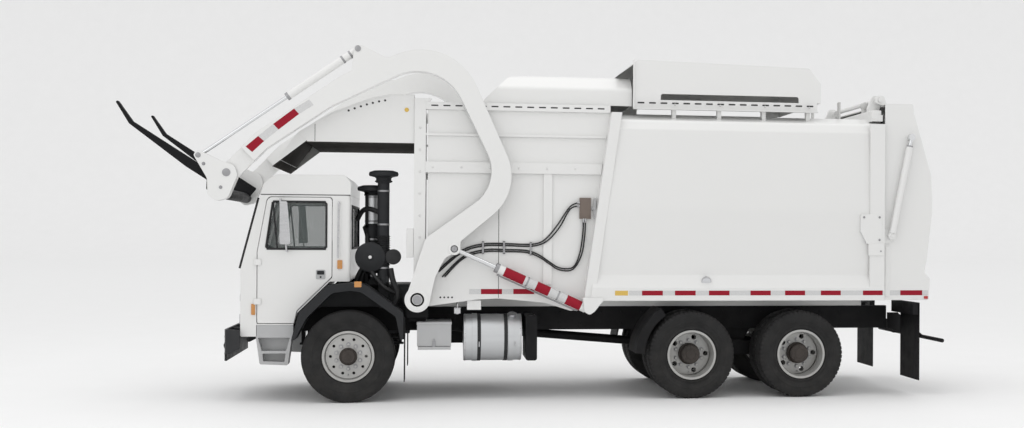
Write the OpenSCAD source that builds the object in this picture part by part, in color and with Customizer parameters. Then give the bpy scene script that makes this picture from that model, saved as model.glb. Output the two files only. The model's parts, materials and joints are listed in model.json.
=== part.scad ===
// Front-loading refuse truck with lift arms, sliding top door and tailgate.
// Millimetres. +X points to the tailgate, -X to the cab, -Y to the driver's side, +Z up.
// The origin is on the ground, midway along the truck's overall length.
// Inside the modules X is counted from the front axle, and place() shifts it.

/* [Chassis] */
// Front axle to the middle of the two rear axles
wheelbase = 4765; // [4300:5:6000]
// Distance between the two rear axles
tandem_gap = 1370; // [1300:5:1500]
// Width over the two frame rails
frame_w = 860; // [820:5:900]
// Height of a frame rail
rail_h = 290; // [240:5:320]
// Height of the rails' top above the ground
frame_top = 1085; // [1050:5:1100]
// Flange width of a frame rail
rail_flange = 90; // [60:5:110]
// Plate thickness of a frame rail
rail_t = 10; // [6:1:14]
// Rear end of the rails behind the last axle
rail_rear = 1360; // [1200:10:1500]

/* [Wheels] */
// Front tyre diameter
front_tyre_d = 1080; // [1040:5:1090]
// Front tyre width
front_tyre_w = 315; // [260:5:330]
// Rear tyre diameter
rear_tyre_d = 1060; // [1000:5:1100]
// Rear tyre width
rear_tyre_w = 280; // [240:5:290]
// Centre distance of two twin tyres
twin_gap = 340; // [320:5:350]
// Rim diameter under the tyre bead
rim_d = 572; // [520:2:580]
// Centre of the front tyre from the middle plane
front_track_y = 1025; // [980:5:1040]
// Space between the front tyre and the wheel arch
arch_gap = 100; // [80:5:130]
// Centre of the outer rear tyre from the middle plane
rear_track_y = 1080; // [1060:5:1085]

/* [Cab] */
// Cab width
cab_w = 1980; // [1800:10:1990]
// Height of the cab's side gutter
gutter_z = 2430; // [2300:10:2500]
// Width over the bumper
bumper_w = 2150; // [2050:10:2400]
// Thickness of the cab's walls
cab_t = 45; // [30:1:60]
// Gap around each door
door_gap = 8; // [5:1:15]
// Glass thickness
glass_t = 8; // [4:1:12]
// Height of the roof cap over the gutter
cap_h = 236; // [150:1:260]

/* [Hopper and body] */
// Width over the hopper's side sheets
hopper_w = 2060; // [1900:10:2080]
// How far the body's side stands out from the hopper's
body_step = 190; // [140:5:220]
// Thickness of the hopper's and body's sheets
sheet_t = 15; // [6:1:20]
// Top of the hopper and body floor
floor_z = 1320; // [1310:5:1400]
// Lower edge of the body's side sills
skirt_z = 1190; // [1150:5:1200]
// Height of the body's side where the roof curve begins
body_side_z = 3380; // [3000:10:3390]
// Rear end of the body behind the middle of the rear axles
body_overhang = 1745; // [1600:5:1900]
// Front face of the hopper
hopper_front = 745; // [700:5:760]

/* [Lift arms] */
// Gap between an arm and the hopper's side sheet
arm_gap = 50; // [40:5:60]
// Thickness of an arm
arm_t = 170; // [150:5:180]
// Space between an arm and the cylinder that folds into it
arm_cyl_gap = 8; // [5:1:12]
// Radius of the torque tube
torque_r = 80; // [60:1:82]
// Length of a fork blade
fork_len = 1480; // [1200:10:1600]
// Angle of the forks over the horizontal
fork_angle = 33; // [25:1:40]
// Centre of a fork blade from the middle plane
fork_y = 960; // [800:5:980]

/* [Hydraulics] */
// Outer radius of an arm cylinder
arm_cyl_r = 57; // [45:1:62]
// Rod radius of an arm cylinder
arm_rod_r = 27; // [18:1:35]
// Outer radius of a fork cylinder
fork_cyl_r = 46; // [35:1:50]
// Rod radius of a fork cylinder
fork_rod_r = 22; // [15:1:25]
// Outer radius of a tailgate cylinder
gate_cyl_r = 40; // [30:1:45]
// Rod radius of a tailgate cylinder
gate_rod_r = 22; // [15:1:25]
// Running clearance around pins and rods
pin_clear = 0.3; // [0.1:0.05:0.5]

/* [Hidden] */

// ---- places of pivots and axles, as [x, z] ----
front_axle = [0, front_tyre_d / 2];
mid_axle = [wheelbase - tandem_gap / 2, rear_tyre_d / 2];
rear_axle = [wheelbase + tandem_gap / 2, rear_tyre_d / 2];
arm_pivot = [792, 1208];
arm_lug = [1218, 1806];
foot_pin = [2822, 1083];
fork_pivot = [-1369, 2672];
fork_lug = [96, 4130];
crank_eye = [-1680, 2865];
fork_tube = [-1460, 2440];
hopper_y = hopper_w / 2;
body_y = hopper_y + body_step;
body_end = wheelbase + body_overhang;
gate_hinge = [body_end - 10, body_side_z + 320];
gate_pin = [body_end + 340, 3220];
gate_foot = [body_end + 90, 1990];
arm_in = hopper_y + arm_gap;
arm_mid = arm_in + arm_t / 2;
arch_x = front_tyre_d / 2 + arch_gap;
arch_top = front_tyre_d + arch_gap + 232;
cab_y = cab_w / 2;
rail_y = frame_w / 2;
kingpin_y = 880;

// ---- the overall length, and the shift that centres it ----
bar_x = body_end + 773;
bar_r = 25;
tip_r = 16;
tip_rise = 90;
fork_drop = 95;
fork_dir = [-cos(fork_angle), sin(fork_angle)];
fork_up = [sin(fork_angle), cos(fork_angle)];
fork_tip = fork_pivot + fork_len * fork_dir + (tip_rise - fork_drop) * fork_up;
x_mid = (fork_tip.x - tip_r + bar_x + bar_r) / 2;

// ---- helpers ----
function unit(v) = v / norm(v);
// A corner b of a path a-b-c, rounded with radius r
function fillet(a, b, c, r) =
  let (u = unit(a - b), v = unit(c - b), half = acos(max(-1, min(1, u * v))) / 2,
       mid = b + unit(u + v) * r / sin(half), s = b + u * r / tan(half) - mid,
       e = b + v * r / tan(half) - mid, w = 180 - 2 * half, n = max(3, ceil(w / 9)))
  [for (i = [0 : n]) mid + (sin(w * (1 - i / n)) * s + sin(w * i / n) * e) / sin(w)];
// A closed outline whose points are [x, z, corner radius]
function rounded(p) = let (n = len(p), xz = [for (q = p) [q[0], q[1]]])
  [for (i = [0 : n - 1])
    each (p[i][2] > 0 ? fillet(xz[(i + n - 1) % n], xz[i], xz[(i + 1) % n], p[i][2]) : [xz[i]])];
module place() { translate([-x_mid, 0, 0]) children(); }
module both() { children(); mirror([0, 1, 0]) children(); }
// The piece is drawn on the driver's side, at -Y, and mirrored for the other side
module side(left) { if (left) children(); else mirror([0, 1, 0]) children(); }
// An outline in X and Z, between two distances from the middle plane on the driver's side
module plate(points, y0, y1) {
  translate([0, -y0, 0]) rotate([90, 0, 0]) linear_extrude(y1 - y0) polygon(rounded(points));
}
module plate_across(points, y) { plate(points, -y, y); }
// An outline in Y and Z, between two places along X
module section(points, x0, x1) {
  translate([x0, 0, 0]) rotate([90, 0, 90]) linear_extrude(x1 - x0) polygon(rounded(points));
}
// A block from one corner to the other, with y as distances to the driver's side
module block(x0, x1, y0, y1, z0, z1) {
  translate([x0, -y1, z0]) cube([x1 - x0, y1 - y0, z1 - z0]);
}
module block_across(x0, x1, y, z0, z1) { block(x0, x1, -y, y, z0, z1); }
// A round bar along Y at p, between two distances from the middle plane on the driver's side
module pin(p, r, y0, y1) {
  translate([p.x, -y0, p[1]]) rotate([90, 0, 0]) cylinder(h = y1 - y0, r = r, $fn = 48);
}
module pin_across(p, r, y) { pin(p, r, -y, y); }
// A round bar in the X-Z plane from distance a to b along the line from p to q
module strut(p, q, y, r, a, b) {
  angle = atan2(q[1] - p[1], q[0] - p[0]);
  translate([p.x, -y, p[1]]) rotate([0, -angle, 0]) translate([a, 0, 0])
    rotate([0, 90, 0]) cylinder(h = b - a, r = r, $fn = 48);
}
function gap(p, q) = norm(q - p);
function mirror_half(p) = concat(p, [for (i = [len(p) - 1 : -1 : 0]) [-p[i][0], p[i][1], p[i][2]]]);

// ---- chassis ----
rail_bottom = frame_top - rail_h;
rail_front_x = -1180;
rail_end_x = rear_axle.x + rail_rear;
outrigger_y = arm_in - 70;
bearing_w = 80;
foot_pin_r = 30;
module rail() {
  difference() {
    block(rail_front_x, rail_end_x, rail_y - rail_flange, rail_y, rail_bottom, frame_top);
    block(rail_front_x - 1, rail_end_x + 1, rail_y - rail_flange - 1, rail_y - rail_t,
          rail_bottom + rail_t, frame_top - rail_t);
  }
}
module cross_member(x) {
  block_across(x - 60, x + 60, rail_y - rail_t, rail_bottom + 60, rail_bottom + 68);
  block_across(x - 5, x + 5, rail_y - rail_t, rail_bottom + 68, frame_top - 60);
}
module arm_bearing() {
  // an upright that carries the torque tube, on an outrigger from the rail
  difference() {
    plate([[arm_pivot.x - 130, frame_top - 100, 0], [arm_pivot.x + 130, frame_top - 100, 0],
           [arm_pivot.x + 115, floor_z - sheet_t - 5, 30], [arm_pivot.x - 115, floor_z - sheet_t - 5, 30]],
          outrigger_y - bearing_w, outrigger_y);
    pin(arm_pivot, torque_r + pin_clear, outrigger_y - bearing_w - 1, outrigger_y + 1);
  }
  block(arm_pivot.x - 100, arm_pivot.x + 100, rail_y, outrigger_y - bearing_w,
        frame_top - 150, frame_top - 30);
}
module foot_bracket() {
  // the clevis under the slanted post that holds an arm cylinder's barrel
  cheek = arm_cyl_r + 7;
  for (y = [arm_mid - cheek - 20, arm_mid + cheek])
    difference() {
      plate([[2740, skirt_z + 40, 0], [2990, skirt_z + 40, 0], [2985, skirt_z, 20],
             [foot_pin.x + 62, foot_pin[1] - 20, 40], [foot_pin.x, foot_pin[1] - 62, 40],
             [foot_pin.x - 62, foot_pin[1] - 20, 40]], y, y + 20);
      pin(foot_pin, foot_pin_r, y - 1, y + 21);
    }
  pin(foot_pin, foot_pin_r, arm_mid - cheek - 20, arm_mid + cheek + 20);
  block(slant_low.x + 25, 2990, rail_y, arm_mid + cheek + 20, skirt_z + 15, skirt_z + 40);
}
module chassis_frame() {
  color("#1d1e20") place() both() {
    rail();
    arm_bearing();
    for (x = [-1040, 1500, 2500, 3300, wheelbase, body_end - 310, body_end + 230]) cross_member(x);
  }
}
module tow_lug(y) {
  difference() {
    plate([[-1420, 560, 0], [-1420, 690, 0], [-1490, 680, 30], [-1510, 625, 40], [-1490, 570, 30]],
          y, y + 28);
    pin([-1465, 625], 22, y - 1, y + 29);
  }
}
module front_bumper() {
  w = bumper_w / 2;
  color("#2a2c2f") place() {
    difference() {
      translate([0, 0, 480]) linear_extrude(370) polygon([
        [-1235, -w], [-1410, 145 - w], [-1430, 195 - w], [-1430, w - 195], [-1410, w - 145], [-1235, w],
        [-1235, w - 30], [-1390, w - 165], [-1405, w - 195], [-1405, 195 - w], [-1390, 165 - w],
        [-1235, 30 - w]]);
      // the corners are cut up towards the steps
      both() plate([[-1500, 470, 0], [-1500, 560, 0], [-1380, 560, 0],
        [-1230, 640, 0], [-1230, 470, 0]], w - 185, w + 125);
    }
    both() {
      block(-1405, rail_front_x, rail_y - 60, rail_y, rail_bottom - 65, cab_lip_z - 10);
      tow_lug(rail_y - 20);
    }
  }
}

// ---- wheels ----
function tyre_profile(r, w, bead) = [
  [bead, -105, 0], [bead + 16, -107, 8], [bead + 60, -w / 2 + 10, 60], [r - 90, -w / 2, 60],
  [r - 12, -w / 2 + 14, 22], [r, -w / 2 + 34, 10], [r, w / 2 - 34, 10], [r - 12, w / 2 - 14, 22],
  [r - 90, w / 2, 60], [bead + 60, w / 2 - 10, 60], [bead + 16, 107, 8], [bead, 105, 0]];
module tyre(p, y, d, w) {
  translate([p.x, -y, p[1]]) rotate([90, 0, 0]) rotate_extrude($fn = 96)
    polygon(rounded(tyre_profile(d / 2, w, rim_d / 2 + 1)));
}
// One rim with its disc at distance disc outboard of the rim's middle plane
module rim(p, y, disc, hub_r, holes, hole_r, hole_pcd) {
  b = rim_d / 2;
  translate([p.x, -y, p[1]]) rotate([90, 0, 0]) difference() {
    rotate_extrude($fn = 96) polygon([
      [b + 14, -118], [b + 14, -109], [b, -109], [b, 109], [b + 14, 109], [b + 14, 118],
      [b - 12, 118], [b - 12, 100], [b - 26, 60], [b - 26, disc + 8], [hub_r - 2, disc + 8],
      [hub_r - 2, disc - 8], [b - 26, disc - 8], [b - 26, -60], [b - 12, -100], [b - 12, -118]]);
    for (i = [0 : holes - 1]) rotate([0, 0, 360 * i / holes])
      translate([hole_pcd, 0, disc - 20]) cylinder(h = 40, r = hole_r, $fn = 24);
  }
}
module studs(p, y0, y1, count, pcd, r) {
  for (i = [0 : count - 1])
    pin([p.x + pcd / 2 * cos(360 * (i + 0.5) / count), p[1] + pcd / 2 * sin(360 * (i + 0.5) / count)],
        r, y0, y1);
}
spindle_r = 42;
module front_rim(left) {
  disc_y = front_track_y + 70;
  color("#b9bcc0") place() side(left) {
    rim(front_axle, front_track_y, 70, 110, 10, 17, 205);
    difference() {
      union() {
        pin(front_axle, 112, front_track_y - 70, disc_y + 30);
        pin(front_axle, 78, disc_y + 30, disc_y + 78);
        studs(front_axle, disc_y + 6, disc_y + 34, 10, 286, 15);
      }
      pin(front_axle, spindle_r + pin_clear, front_track_y - 71, disc_y + 20);
    }
  }
}
module twin_rims(axle, left) {
  inner_y = rear_track_y - twin_gap;
  color("#b9bcc0") place() side(left) {
    rim(axle, rear_track_y, -twin_gap / 2 + 60, 120, 5, 30, 212);
    mirror([0, 1, 0]) rim(axle, -inner_y, -twin_gap / 2 + 60, 120, 5, 30, 212);
    difference() {
      union() {
        pin(axle, 128, inner_y - 40, rear_track_y - 60);
        pin(axle, 96, rear_track_y - 60, rear_track_y + 50);
        studs(axle, rear_track_y - 103, rear_track_y - 66, 10, 335, 16);
      }
      pin(axle, spindle_r + pin_clear, inner_y - 41, rear_track_y + 10);
    }
  }
}
module front_tyre(left) {
  color("#17181a") place() side(left) tyre(front_axle, front_track_y, front_tyre_d, front_tyre_w);
}
module twin_tyres(axle, left) {
  color("#17181a") place() side(left)
    for (y = [rear_track_y, rear_track_y - twin_gap]) tyre(axle, y, rear_tyre_d, rear_tyre_w);
}
module front_tyre_left() { front_tyre(true); }
module front_tyre_right() { front_tyre(false); }
module front_rim_left() { front_rim(true); }
module front_rim_right() { front_rim(false); }
module mid_tyres_left() { twin_tyres(mid_axle, true); }
module mid_tyres_right() { twin_tyres(mid_axle, false); }
module mid_rims_left() { twin_rims(mid_axle, true); }
module mid_rims_right() { twin_rims(mid_axle, false); }
module rear_tyres_left() { twin_tyres(rear_axle, true); }
module rear_tyres_right() { twin_tyres(rear_axle, false); }
module rear_rims_left() { twin_rims(rear_axle, true); }
module rear_rims_right() { twin_rims(rear_axle, false); }

// ---- axles and drive ----
king_r = 24;
module front_axle_and_springs() {
  beam_z = front_axle[1] - 90;
  color("#26272a") place() both() {
    block(-60, 60, -1, 560, beam_z - 50, beam_z + 50);
    // the beam rises towards the kingpin, over the steering arm
    block(-50, 50, 559, 760, beam_z + 8, beam_z + 70);
    // the eye that holds the kingpin
    difference() {
      union() {
        translate([0, -kingpin_y, front_axle[1] - 70]) cylinder(h = 110, r = 52, $fn = 48);
        block(-45, 45, 750, kingpin_y - 30, front_axle[1] - 70, front_axle[1] + 30);
      }
      translate([0, -kingpin_y, front_axle[1] - 71])
        cylinder(h = 112, r = king_r + pin_clear, $fn = 48);
    }
    // leaf springs, their hangers and seats
    for (i = [0 : 2]) block(-620 + 90 * i, 620 - 90 * i, 345, 425,
                            front_axle[1] + 85 - 26 * i, front_axle[1] + 108 - 26 * i);
    block(-70, 70, 335, 435, beam_z + 50, front_axle[1] + 33);
    for (x = [-600, 560]) block(x, x + 40, 350, 420, front_axle[1] + 108, rail_bottom);
  }
}
module knuckle(left) {
  color("#33353a") place() side(left) {
    // the yoke above and below the axle's eye, with the kingpin and the wheel spindle
    difference() {
      union() {
        translate([0, -kingpin_y, front_axle[1] + 46]) cylinder(h = 50, r = 50, $fn = 48);
        translate([0, -kingpin_y, front_axle[1] - 126]) cylinder(h = 50, r = 50, $fn = 48);
        block(-45, 45, kingpin_y + 30, kingpin_y + 66, front_axle[1] - 126, front_axle[1] + 96);
      }
      translate([0, -kingpin_y, front_axle[1] - 75]) cylinder(h = 120, r = 58, $fn = 48);
    }
    translate([0, -kingpin_y, front_axle[1] - 130]) cylinder(h = 230, r = king_r, $fn = 48);
    pin(front_axle, spindle_r, kingpin_y + 60, front_track_y + 80);
    // steering arm
    block(-75, 0, 770, kingpin_y, front_axle[1] - 126, front_axle[1] - 96);
    block(-230, -55, 770, 815, front_axle[1] - 126, front_axle[1] - 96);
  }
}
module knuckle_left() { knuckle(true); }
module knuckle_right() { knuckle(false); }
module rear_axles() {
  color("#202124") place() both() {
    for (axle = [mid_axle, rear_axle]) {
      pin(axle, 85, -1, rear_track_y - twin_gap - 50);
      pin(axle, spindle_r, rear_track_y - twin_gap - 60, rear_track_y);
      translate([axle.x, 0, axle[1]]) sphere(r = 210, $fn = 48);
    }
    // walking beam with its trunnion
    plate([[mid_axle.x - 60, mid_axle[1] - 60, 40], [rear_axle.x + 60, mid_axle[1] - 60, 40],
           [rear_axle.x + 60, mid_axle[1] + 60, 40], [wheelbase, mid_axle[1] + 130, 60],
           [mid_axle.x - 60, mid_axle[1] + 60, 40]], 400, 500);
    plate([[wheelbase - 220, rail_bottom, 0], [wheelbase - 90, mid_axle[1] + 20, 0],
           [wheelbase + 90, mid_axle[1] + 20, 0], [wheelbase + 220, rail_bottom, 0]], 345, 395);
  }
}
module drive_shaft() {
  start = [760, 850];
  end = [mid_axle.x - 215, mid_axle[1] + 60];
  color("#3a3c40") place() {
    strut(start, end, 0, 55, 0, gap(start, end));
    strut(start, end, 0, 80, 0, 60);
    strut(start, end, 0, 80, gap(start, end) - 60, gap(start, end));
    strut([mid_axle.x + 215, mid_axle[1] + 20], [rear_axle.x - 215, mid_axle[1] + 20], 0, 45, 0,
          tandem_gap - 430);
  }
}

// ---- cab ----
front_x = -1240;
cab_rear_x = 10;
belt_z = 1560;
screen_foot = [front_x, belt_z];
screen_top = [-1019, 2430];
cab_floor_z = 905;
cab_lip_z = 850;
seat_base_z = arch_top + 35;
tunnel_y = rail_y + 40;
tunnel_z = frame_top + 25;
function cab_outline() = [
  [front_x, 770, 20], [front_x, belt_z, 80], [screen_top.x, gutter_z, 0], [cab_rear_x, gutter_z, 0],
  [cab_rear_x, arch_top, 20], [412 - arch_x, arch_top, 30], [40 - arch_x, arch_top - 372, 40],
  [-arch_x, cab_floor_z, 0],
  [-1060, cab_floor_z, 0], [-1060, 770, 0]];
function cab_inside() = [
  [front_x + cab_t, cab_floor_z + 35, 20], [front_x + cab_t, belt_z - 5, 60],
  [screen_top.x + cab_t + 2, gutter_z + 1, 0], [cab_rear_x - cab_t, gutter_z + 1, 0],
  [cab_rear_x - cab_t, seat_base_z, 20], [395 - arch_x, seat_base_z, 30],
  [-arch_x, arch_top - 360, 40], [-arch_x - 32, cab_floor_z + 35, 10]];
module cab_plan(inset, z0, z1) {
  y = cab_y - inset;
  translate([0, 0, z0]) linear_extrude(z1 - z0) polygon(rounded([
    [front_x - 300, -y, 0], [cab_rear_x - inset, -y, 50], [cab_rear_x - inset, y, 50],
    [front_x - 300, y, 0]]));
}
function door_outline(g) = [
  [-1050 - g, 925 - g, 20], [-1050 - g, 1760, 60], [-935 - g, 2400 + g, 60], [-205 + g, 2400 + g, 40],
  [435 - arch_x + g, arch_top + 56 - g, 40], [37 - arch_x + g, arch_top - 342 - g, 30],
  [5 - arch_x + g, 925 - g, 10]];
window_outline = [[-958, 1795, 50], [-880, 2350, 45], [-268, 2350, 45], [-268, 1795, 50]];
rear_window = [[-700, 1800, 60], [-700, 2310, 60], [700, 2310, 60], [700, 1800, 60]];
screen_outline = [[-880, 1650, 60], [-830, 2385, 60], [830, 2385, 60], [880, 1650, 60]];
module cab_shell() {
  color("#f2f2f0") place() difference() {
    intersection() {
      plate_across(cab_outline(), cab_y);
      cab_plan(0, 700, gutter_z + 50);
    }
    difference() {
      plate_across(cab_inside(), cab_y - cab_t);
      // the floor's raised tunnel over the frame rails
      block_across(front_x, cab_rear_x, tunnel_y + 25, cab_floor_z, tunnel_z + 25);
    }
    block_across(front_x + cab_t, cab_rear_x, tunnel_y, 700, tunnel_z);
    block_across(front_x - 1, front_x + cab_t + 1, tunnel_y, 700, cab_lip_z);
    both() plate(door_outline(door_gap), cab_y - cab_t - 60, cab_y + 60);
    section(screen_outline, front_x - 100, front_x + 330);
    section(rear_window, cab_rear_x - 100, cab_rear_x + 50);
  }
}
module cab_roof() {
  color("#f2f2f0") place() difference() {
    plate_across([[-1024, gutter_z + 2, 0], [-985, gutter_z + 130, 70], [-860, gutter_z + cap_h, 120],
      [-60, gutter_z + cap_h + 4, 60], [cab_rear_x, gutter_z + 150, 60],
      [cab_rear_x, gutter_z + 2, 0]], cab_y);
    plate_across([[-980, gutter_z + 1, 0], [-945, gutter_z + 120, 60], [-840, gutter_z + cap_h - 30, 90],
      [-70, gutter_z + cap_h - 30, 50], [cab_rear_x - 35, gutter_z + 140, 40],
      [cab_rear_x - 35, gutter_z + 1, 0]], cab_y - 35);
    // the top edges along both sides are chamfered
    both() translate([front_x, -cab_y, gutter_z + cap_h]) rotate([45, 0, 0])
      cube([1500, 110, 110], center = false);
  }
}
module cab_glass() {
  color([0.25, 0.3, 0.3, 0.5]) place() {
    intersection() {
      section([[-878, 1652, 60], [-828, 2383, 60], [828, 2383, 60], [878, 1652, 60]],
              front_x - 100, front_x + 330);
      plate_across([[front_x + 12, belt_z - 5, 0], [front_x + 12 + glass_t, belt_z - 5, 0],
        [screen_top.x + 14 + glass_t, gutter_z, 0], [screen_top.x + 14, gutter_z, 0]], 900);
    }
    section([[-698, 1802, 60], [-698, 2308, 60], [698, 2308, 60], [698, 1802, 60]],
            cab_rear_x - cab_t + 15, cab_rear_x - cab_t + 15 + glass_t);
  }
}
module door_panel() {
  difference() {
    plate(door_outline(0), cab_y - cab_t, cab_y);
    plate(window_outline, cab_y - cab_t - 1, cab_y + 1);
    // hollow behind the outer skin, for the door lining
    plate([[-1000, 975, 30], [-1000, 1740, 30], [-255, 1740, 30], [-255, arch_top + 88, 30],
           [-arch_x, arch_top - 302, 30], [-arch_x - 25, 975, 30]], cab_y - cab_t - 1, cab_y - cab_t + 12);
  }
  for (z = [1180, 1640]) {
    block(hinge_pin.x, hinge_pin.x + 70, cab_y, cab_y + 22, z - 35, z + 35);
    translate([hinge_pin.x, -hinge_pin[1], z - 35]) cylinder(h = 70, r = 11, $fn = 32);
  }
}
hinge_pin = [-1078, cab_y + 13];
module door_left() { color("#f2f2f0") place() door_panel(); }
module door_right() { color("#f2f2f0") place() mirror([0, 1, 0]) door_panel(); }
module door_glass() {
  plate([[-956, 1797, 50], [-878, 2348, 45], [-270, 2348, 45], [-270, 1797, 50]],
        cab_y - cab_t / 2 - glass_t, cab_y - cab_t / 2);
}
module door_glass_left() { color([0.25, 0.3, 0.3, 0.5]) place() door_glass(); }
module door_glass_right() { color([0.25, 0.3, 0.3, 0.5]) place() mirror([0, 1, 0]) door_glass(); }
module mirror_head() {
  // a tube loop from the door's top frame to its waist, with the mirror outboard of it
  mirror_y = cab_y + 80;
  for (p = [[-790, 2375], [-712, 1770]]) pin(p, 11, cab_y, mirror_y + 11);
  strut([-790, 2375], [-712, 1770], mirror_y, 11, 0, gap([-790, 2375], [-712, 1770]));
  plate([[-785, 1850, 20], [-785, 2350, 20], [-705, 2350, 20], [-665, 1850, 20]],
        mirror_y + 5, mirror_y + 75);
}
module mirror_left() { color("#9a9c9f") place() mirror_head(); }
module mirror_right() { color("#9a9c9f") place() mirror([0, 1, 0]) mirror_head(); }
steer_hub = [-870, 1745];
module dashboard() {
  color("#3c3e42") place() {
    plate_across([[front_x + cab_t + 5, 1150, 20], [front_x + cab_t + 5, 1590, 20],
      [-960, 1560, 50], [-940, 1330, 60], [-1090, 1150, 20]], cab_y - cab_t - 20);
    // steering column and wheel
    strut([-1010, 1480], steer_hub, 480, 22, 0, gap([-1010, 1480], steer_hub));
    translate([steer_hub.x, -480, steer_hub[1]]) rotate([0, 30, 0]) {
      rotate_extrude($fn = 64) translate([205, 0]) circle(r = 15, $fn = 24);
      for (a = [0, 120, 240]) rotate([0, 0, a]) translate([0, -14, -8]) cube([196, 28, 16]);
      translate([0, 0, -20]) cylinder(h = 36, r = 48, $fn = 32);
    }
  }
}
module seat(y) {
  z = seat_base_z;
  plate([[-620, z, 0], [-620, z + 53, 0], [-230, z + 53, 0], [-230, z, 0]], y - 190, y + 190);
  plate([[-690, z + 53, 40], [-680, z + 153, 40], [-200, z + 143, 30], [-200, z + 53, 20]],
        y - 240, y + 240);
  plate([[-270, z + 143, 0], [-190, z + 143, 0], [-60, z + 793, 30], [-120, z + 813, 40],
         [-200, z + 733, 60]], y - 230, y + 230);
}
module seats() { color("#45474b") place() for (y = [-480, 480]) seat(y); }
module cab_steps() {
  color("#c6c8ca") place() both() {
    difference() {
      block(-1055, -arch_x, 790, cab_y - 5, 770, cab_floor_z);
      block(-1040, -arch_x - 15, 789, cab_y - 20, 785, cab_floor_z - 15);
    }
    difference() {
      plate([[-1065, 770, 0], [-1020, 445, 20], [-arch_x - 60, 430, 20], [-arch_x - 15, 770, 0]],
            790, cab_y - 5);
      plate([[-1040, 755, 0], [-1000, 600, 20], [-arch_x - 80, 600, 20], [-arch_x - 40, 755, 0]],
            860, cab_y);
      plate([[-990, 570, 10], [-980, 480, 10], [-arch_x - 100, 470, 10], [-arch_x - 85, 570, 10]],
            860, cab_y);
    }
  }
}
fender_in = front_track_y - 260;
fender_out = front_track_y + 160;
fender_t = 90;
// The fender's arch, drawn in by i, and by less at its feet to clear the steered tyre
module fender(i, y0, y1) {
  plate([[0.4 * i - arch_x - 5, 740 - sign(i), 0], [i - arch_x + 80, arch_top - 357 - 0.6 * i, 60],
    [0.6 * i - arch_x + 400, arch_top - 37 - i, 120], [20, arch_top - 10 - i, 60],
    [190 - 0.5 * i, arch_top - 27 - i, 120], [arch_x - 5 - i, arch_top - 362 - 0.5 * i, 60],
    [arch_x - 5 - 0.4 * i, 740 - sign(i), 0]], y0, y1);
}
module front_fenders() {
  color("#26282b") place() both() {
    difference() {
      fender(0, fender_in, fender_out);
      fender(fender_t, fender_in - 1, fender_out + 1);
    }
    // the wall behind the wheel, above the tyre
    intersection() {
      fender(10, fender_in, fender_in + 15);
      block(-arch_x, arch_x, fender_in - 1, fender_in + 16, front_tyre_d + 25, arch_top);
    }
    // brackets to the frame
    for (x = [220 - arch_x, arch_x - 300]) {
      block(x, x + 60, rail_y - 60, fender_in + 25, frame_top, frame_top + 40);
      block(x, x + 60, fender_in + 1, fender_in + 25, frame_top, arch_top - 247);
    }
  }
}

// ---- engine bay behind the cab ----
module engine_block() {
  color("#4a4d52") place() {
    block_across(-190, 690, 330, 750, 1130);
    block_across(60, 690, 400, 1130, 1360);
  }
}
module rain_cap(r) {
  rotate_extrude($fn = 60) polygon([[0, 0], [0.5 * r, 0], [0.6 * r, 16], [0.95 * r, 30], [r, 52],
                                    [0.95 * r, 78], [0.65 * r, 95], [0, 100]]);
}
module intake_stack() {
  stack = [383, 800];
  color("#1c1d1f") place() translate([stack.x, -stack.y, 0]) {
    translate([0, 0, 1380]) cylinder(h = 1260, r = 70, $fn = 48);
    translate([0, 0, 2640]) rain_cap(176);
    translate([0, 0, 2590]) cylinder(h = 50, r = 90, $fn = 48);
    // the air cleaner's drum
    translate([-150, 130, 1700]) rotate([90, 0, 0]) cylinder(h = 200, r = 175, $fn = 48);
    translate([-100, -60, 1640]) cube([150, 120, 120]);
    translate([-60, 100, 1150]) cube([120, 250, 320]);
    translate([-60, -60, 1400]) cube([120, 200, 70]);
  }
}
module exhaust_stack() {
  stack = [245, 560];
  color("#232427") place() translate([stack.x, -stack.y, 0]) {
    translate([0, 0, 1400]) cylinder(h = 440, r = 45, $fn = 48);
    translate([0, 0, 1840]) cylinder(h = 640, r = 88, $fn = 48);
    translate([0, 0, 2470]) rain_cap(184);
    translate([-60, -60, 1360]) cube([120, 200, 60]);
  }
}

// ---- equipment beside the frame ----
module battery_box() {
  color("#c3c5c8") place() {
    plate([[790, 650, 10], [790, 930, 20], [1190, 930, 20], [1190, 650, 10]], 480, 1090);
    block(810, 1170, rail_y, 500, 760, 860);
    plate([[800, 610, 0], [800, 645, 0], [1185, 645, 0], [1185, 610, 0]], 480, 1110);
  }
}
tank_x0 = 1340;
tank_x1 = 2030;
tank_r = 280;
tank_y = 800;
tank_z = 735;
module fuel_tank() {
  color("#b4b7ba") place() {
    translate([tank_x0, -tank_y, tank_z]) rotate([0, 90, 0])
      cylinder(h = tank_x1 - tank_x0, r = tank_r, $fn = 96);
    for (x = [tank_x0 + 100, tank_x1 - 160]) {
      translate([x, -tank_y, tank_z]) rotate([0, 90, 0]) cylinder(h = 60, r = tank_r + 8, $fn = 96);
      block(x, x + 60, rail_y, tank_y, 820, 900);
    }
  }
}
module side_boxes() {
  color("#1b1c1e") place() {
    plate([[2075, 470, 30], [2075, 1010, 30], [2210, 1010, 30], [2210, 470, 30]], 520, 1090);
    block(2090, 2195, rail_y, 530, 850, 950);
    mirror([0, 1, 0]) plate([[950, 560, 30], [950, 1010, 30], [1900, 1010, 30], [1900, 560, 30]],
                            520, 1090);
    mirror([0, 1, 0]) block(1000, 1800, rail_y, 530, 850, 950);
  }
}

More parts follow.
